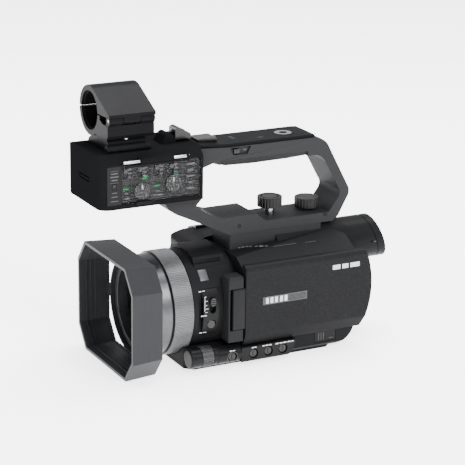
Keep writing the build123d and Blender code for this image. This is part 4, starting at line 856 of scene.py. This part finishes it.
for number, (y, way) in enumerate(((-116.0, -1), (-83.0, 1))):
    turned("rail_end_%d" % number, (13.5, y, 165.2), (0, way, 0),
           [(-0.3, 0.0), (-0.3, 0.8), (0.0, 1.2), (0.0, 1.9), (-0.3, 2.2)], button_black, "root", 28)

# ------------------------------------------------------------------ inside
# Two circuit boards, etched and coated green, stand in the casing behind the lens.
# Their tracks show as slightly lighter patches under the coating.
board = Finish("board_green", (0.012, 0.07, 0.03), 0.4)
tracks = board.noise(320.0, 6.0)
board.set("Base Color", board.blend(tracks > 0.5, (0.01, 0.06, 0.026), (0.02, 0.1, 0.045)))
finished(frame["nodes"]["circuit_boards"], board.material)

# ------------------------------------------------------------------ hand strap
# A padded band round the grip: a soft pad, a woven strap over it with its turned-back end, and two anchors.
# The pad is knitted spacer cloth over foam; the strap is nylon webbing, stitched along both edges.
STRAP_LENGTH = 0.135
STRAP_PATH = [Vector(point) for point in ((-58, -24, 0), (-82, -8, 0), (-90, 20, 0), (-81, 48, 0),
                                          (-61, 68, 0))]


def strap_point(along):
    """Place, in mm, and outward direction at a share of the strap's smooth line."""
    ends = [2 * STRAP_PATH[0] - STRAP_PATH[1]] + STRAP_PATH + [2 * STRAP_PATH[-1] - STRAP_PATH[-2]]
    span = min(along * (len(STRAP_PATH) - 1), len(STRAP_PATH) - 1.0001)
    first = int(span)
    t = span - first
    a, b, c, d = ends[first:first + 4]
    square = 2 * a - 5 * b + 4 * c - d
    cube = 3 * b - a - 3 * c + d
    place = 0.5 * (2 * b + (c - a) * t + square * t * t + cube * t ** 3)
    heading = 0.5 * ((c - a) + 2 * square * t + 3 * cube * t * t)
    heading.normalize()
    return place, Vector((-heading.y, heading.x, 0))


def band(name, start, end, low, high, inner, outer, steps, rows, material, crown=0.0, taper=0.0):
    """A closed strip along the strap's line: its sides, between two heights, and its two faces, all in mm."""
    bpy.ops.object.select_all(action="DESELECT")
    bpy.ops.mesh.primitive_cube_add(size=1)
    piece = bpy.context.active_object
    piece.name = name
    corners, faces = [], []
    for step in range(steps + 1):
        share = step / steps
        place, out = strap_point(start + (end - start) * share)
        narrow = 1 - taper * abs(2 * share - 1) ** 6
        ring = [(low + (high - low) * row / rows, inner) for row in range(rows + 1)]
        ring += [(high - (high - low) * row / rows, outer) for row in range(rows + 1)]
        middle = (low + high) / 2
        for height, depth in ring:
            across = (height - middle) / (high - low) * 2
            swell = crown * (1 - across ** 2) * (1 if depth == outer else -1)
            at = place + out * (depth + swell) + Vector((0, 0, middle + (height - middle) * narrow))
            corners.append(at * MM)
    ring_size = 2 * (rows + 1)
    for step in range(steps):
        for i in range(ring_size):
            a, b = step * ring_size + i, step * ring_size + (i + 1) % ring_size
            faces.append((a, b, b + ring_size, a + ring_size))
    faces.append(tuple(reversed(range(ring_size))))
    faces.append(tuple(steps * ring_size + i for i in range(ring_size)))
    piece.data.clear_geometry()
    piece.data.from_pydata(corners, [], faces)
    outward(piece)
    unwrap = piece.data.uv_layers.new(name="cloth")
    for face in piece.data.polygons:
        for loop in face.loop_indices:
            corner = piece.data.loops[loop].vertex_index
            share = corner // ring_size / steps * (end - start)
            unwrap.data[loop].uv = (share * STRAP_LENGTH, piece.data.vertices[corner].co.z)
    return settle(piece, "root", material, 50)


pad_cloth = Finish("pad_cloth", (0.006, 0.006, 0.0065), 0.85, Sheen_Weight=0.25)
cells_of_knit = pad_cloth.node("TexVoronoi", "Distance", None, {"Vector": pad_cloth.place(), "Scale": 620.0})
pad_cloth.set("Base Color", pad_cloth.blend(cells_of_knit, (0.0035, 0.0035, 0.0038), (0.011, 0.011, 0.0118)))
pad_cloth.set("Roughness", cells_of_knit * 0.15 + 0.74)
pad_cloth.bump(cells_of_knit, 0.0004)

web_cloth = Finish("web_cloth", (0.006, 0.006, 0.0065), 0.7, Sheen_Weight=0.2)
woven_uv = web_cloth.node("UVMap", 0, {"uv_map": "cloth"})
lengthwise = web_cloth.node("TexWave", "Fac", {"wave_type": "BANDS", "bands_direction": "X"},
                            {"Vector": woven_uv, "Scale": 260.0, "Distortion": 0.0})
crosswise = web_cloth.node("TexWave", "Fac", {"wave_type": "BANDS", "bands_direction": "Y"},
                           {"Vector": woven_uv, "Scale": 320.0, "Distortion": 0.0})
weave = lengthwise * crosswise
web_cloth.set("Base Color", web_cloth.blend(weave, (0.003, 0.003, 0.0033), (0.014, 0.014, 0.015)))
web_cloth.set("Roughness", weave * 0.15 + 0.6)
web_cloth.bump(weave, 0.00025)

PAD_MESH = 2.0 * MM
MOST_SWELL = 1.1 * MM
PUFF_FRAMES = 20
pad = band("hand_strap_pad", 0.14, 0.86, 28.5, 59.5, -3.2, 0.4, 44, 10, pad_cloth.material, 0.9, 0.12)
voxels = pad.modifiers.new("voxels", "REMESH")
voxels.mode = "VOXEL"
voxels.voxel_size = PAD_MESH
apply_all(pad)
start_places = [corner.co.copy() for corner in pad.data.vertices]
cloth = pad.modifiers.new("cloth", "CLOTH")
cloth.settings.use_pressure = True
cloth.settings.uniform_pressure_force = 4
cloth.settings.effector_weights.gravity = 0
for moment in range(1, PUFF_FRAMES + 1):
    bpy.context.scene.frame_set(moment)
apply_all(pad)
bpy.context.scene.frame_set(1)
for corner, was in zip(pad.data.vertices, start_places):
    moved = corner.co - was
    if moved.length > MOST_SWELL:
        corner.co = was + moved.normalized() * MOST_SWELL
finer = pad.modifiers.new("finer", "SUBSURF")
finer.levels = 1
finer.render_levels = 1
apply_all(pad)
smoothed(pad, 60)
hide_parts("hand_strap")

web = band("hand_strap_web", 0.0, 1.0, 33.0, 55.0, 1.3, 2.7, 72, 8, web_cloth.material)
web_end = band("hand_strap_flap", 0.22, 0.62, 33.5, 54.5, 2.8, 4.0, 36, 8, web_cloth.material)
band("hand_strap_tab", 0.60, 0.66, 36.0, 52.0, 3.0, 4.4, 10, 6, rubber_black)

# Stitches run along both edges of the strap and across its ends.
thread_grey = moulded("thread_grey", (0.02, 0.02, 0.021), 0.6)


def stitch_row(name, places, material):
    """Short raised stitches, each a small rounded bar lying on the strap."""
    piece = None
    for share, height, depth, upright in places:
        place, out = strap_point(share)
        spot = (place + out * depth + Vector((0, 0, height))) * MM
        heading = Vector((out.y, -out.x, 0))
        if piece:
            select_only(piece)
            bpy.ops.object.mode_set(mode="EDIT")
        else:
            bpy.ops.object.select_all(action="DESELECT")
        turn = (0, 0, atan2(heading.y, heading.x))
        bpy.ops.mesh.primitive_cube_add(size=MM, location=spot, rotation=turn)
        if not piece:
            piece = bpy.context.active_object
            piece.name = name
            bpy.ops.object.transform_apply(location=True, rotation=True, scale=True)
        bpy.ops.object.mode_set(mode="OBJECT")
        frame_axes = (heading, out, Vector((0, 0, 1)))
        sizes = (0.4, 0.35, 2.0) if upright else (2.0, 0.35, 0.4)
        for corner in list(piece.data.vertices)[-8:]:
            away = corner.co - spot
            stretched_axes = (axis * (away.dot(axis) * size) for axis, size in zip(frame_axes, sizes))
            corner.co = spot + sum(stretched_axes, Vector())
    bevel = piece.modifiers.new("round", "BEVEL")
    bevel.width = 0.14 * MM
    bevel.segments = 2
    apply_all(piece)
    settle(piece, "root", material, 60)


edge_rows = [(0.24 + 0.36 * step / 17, height, 4.0, False) for step in range(18) for height in (35.0, 53.0)]
end_rows = [(share, 36.0 + 2.6 * row, 4.0, True) for share in (0.24, 0.58) for row in range(7)]
stitch_row("hand_strap_stitches", edge_rows + end_rows, thread_grey)
for name, low, high in (("strap_anchor_front", (-61.5, -27.5, 30.0), (-52.0, -21.5, 58.0)),
                        ("strap_anchor_rear", (-64.5, 63.5, 30.0), (-54.5, 70.5, 58.0))):
    slab(name, low, high, rubber_black, "root", 1.4, (-1, 0, 0), 1.6, 0.6, 4)
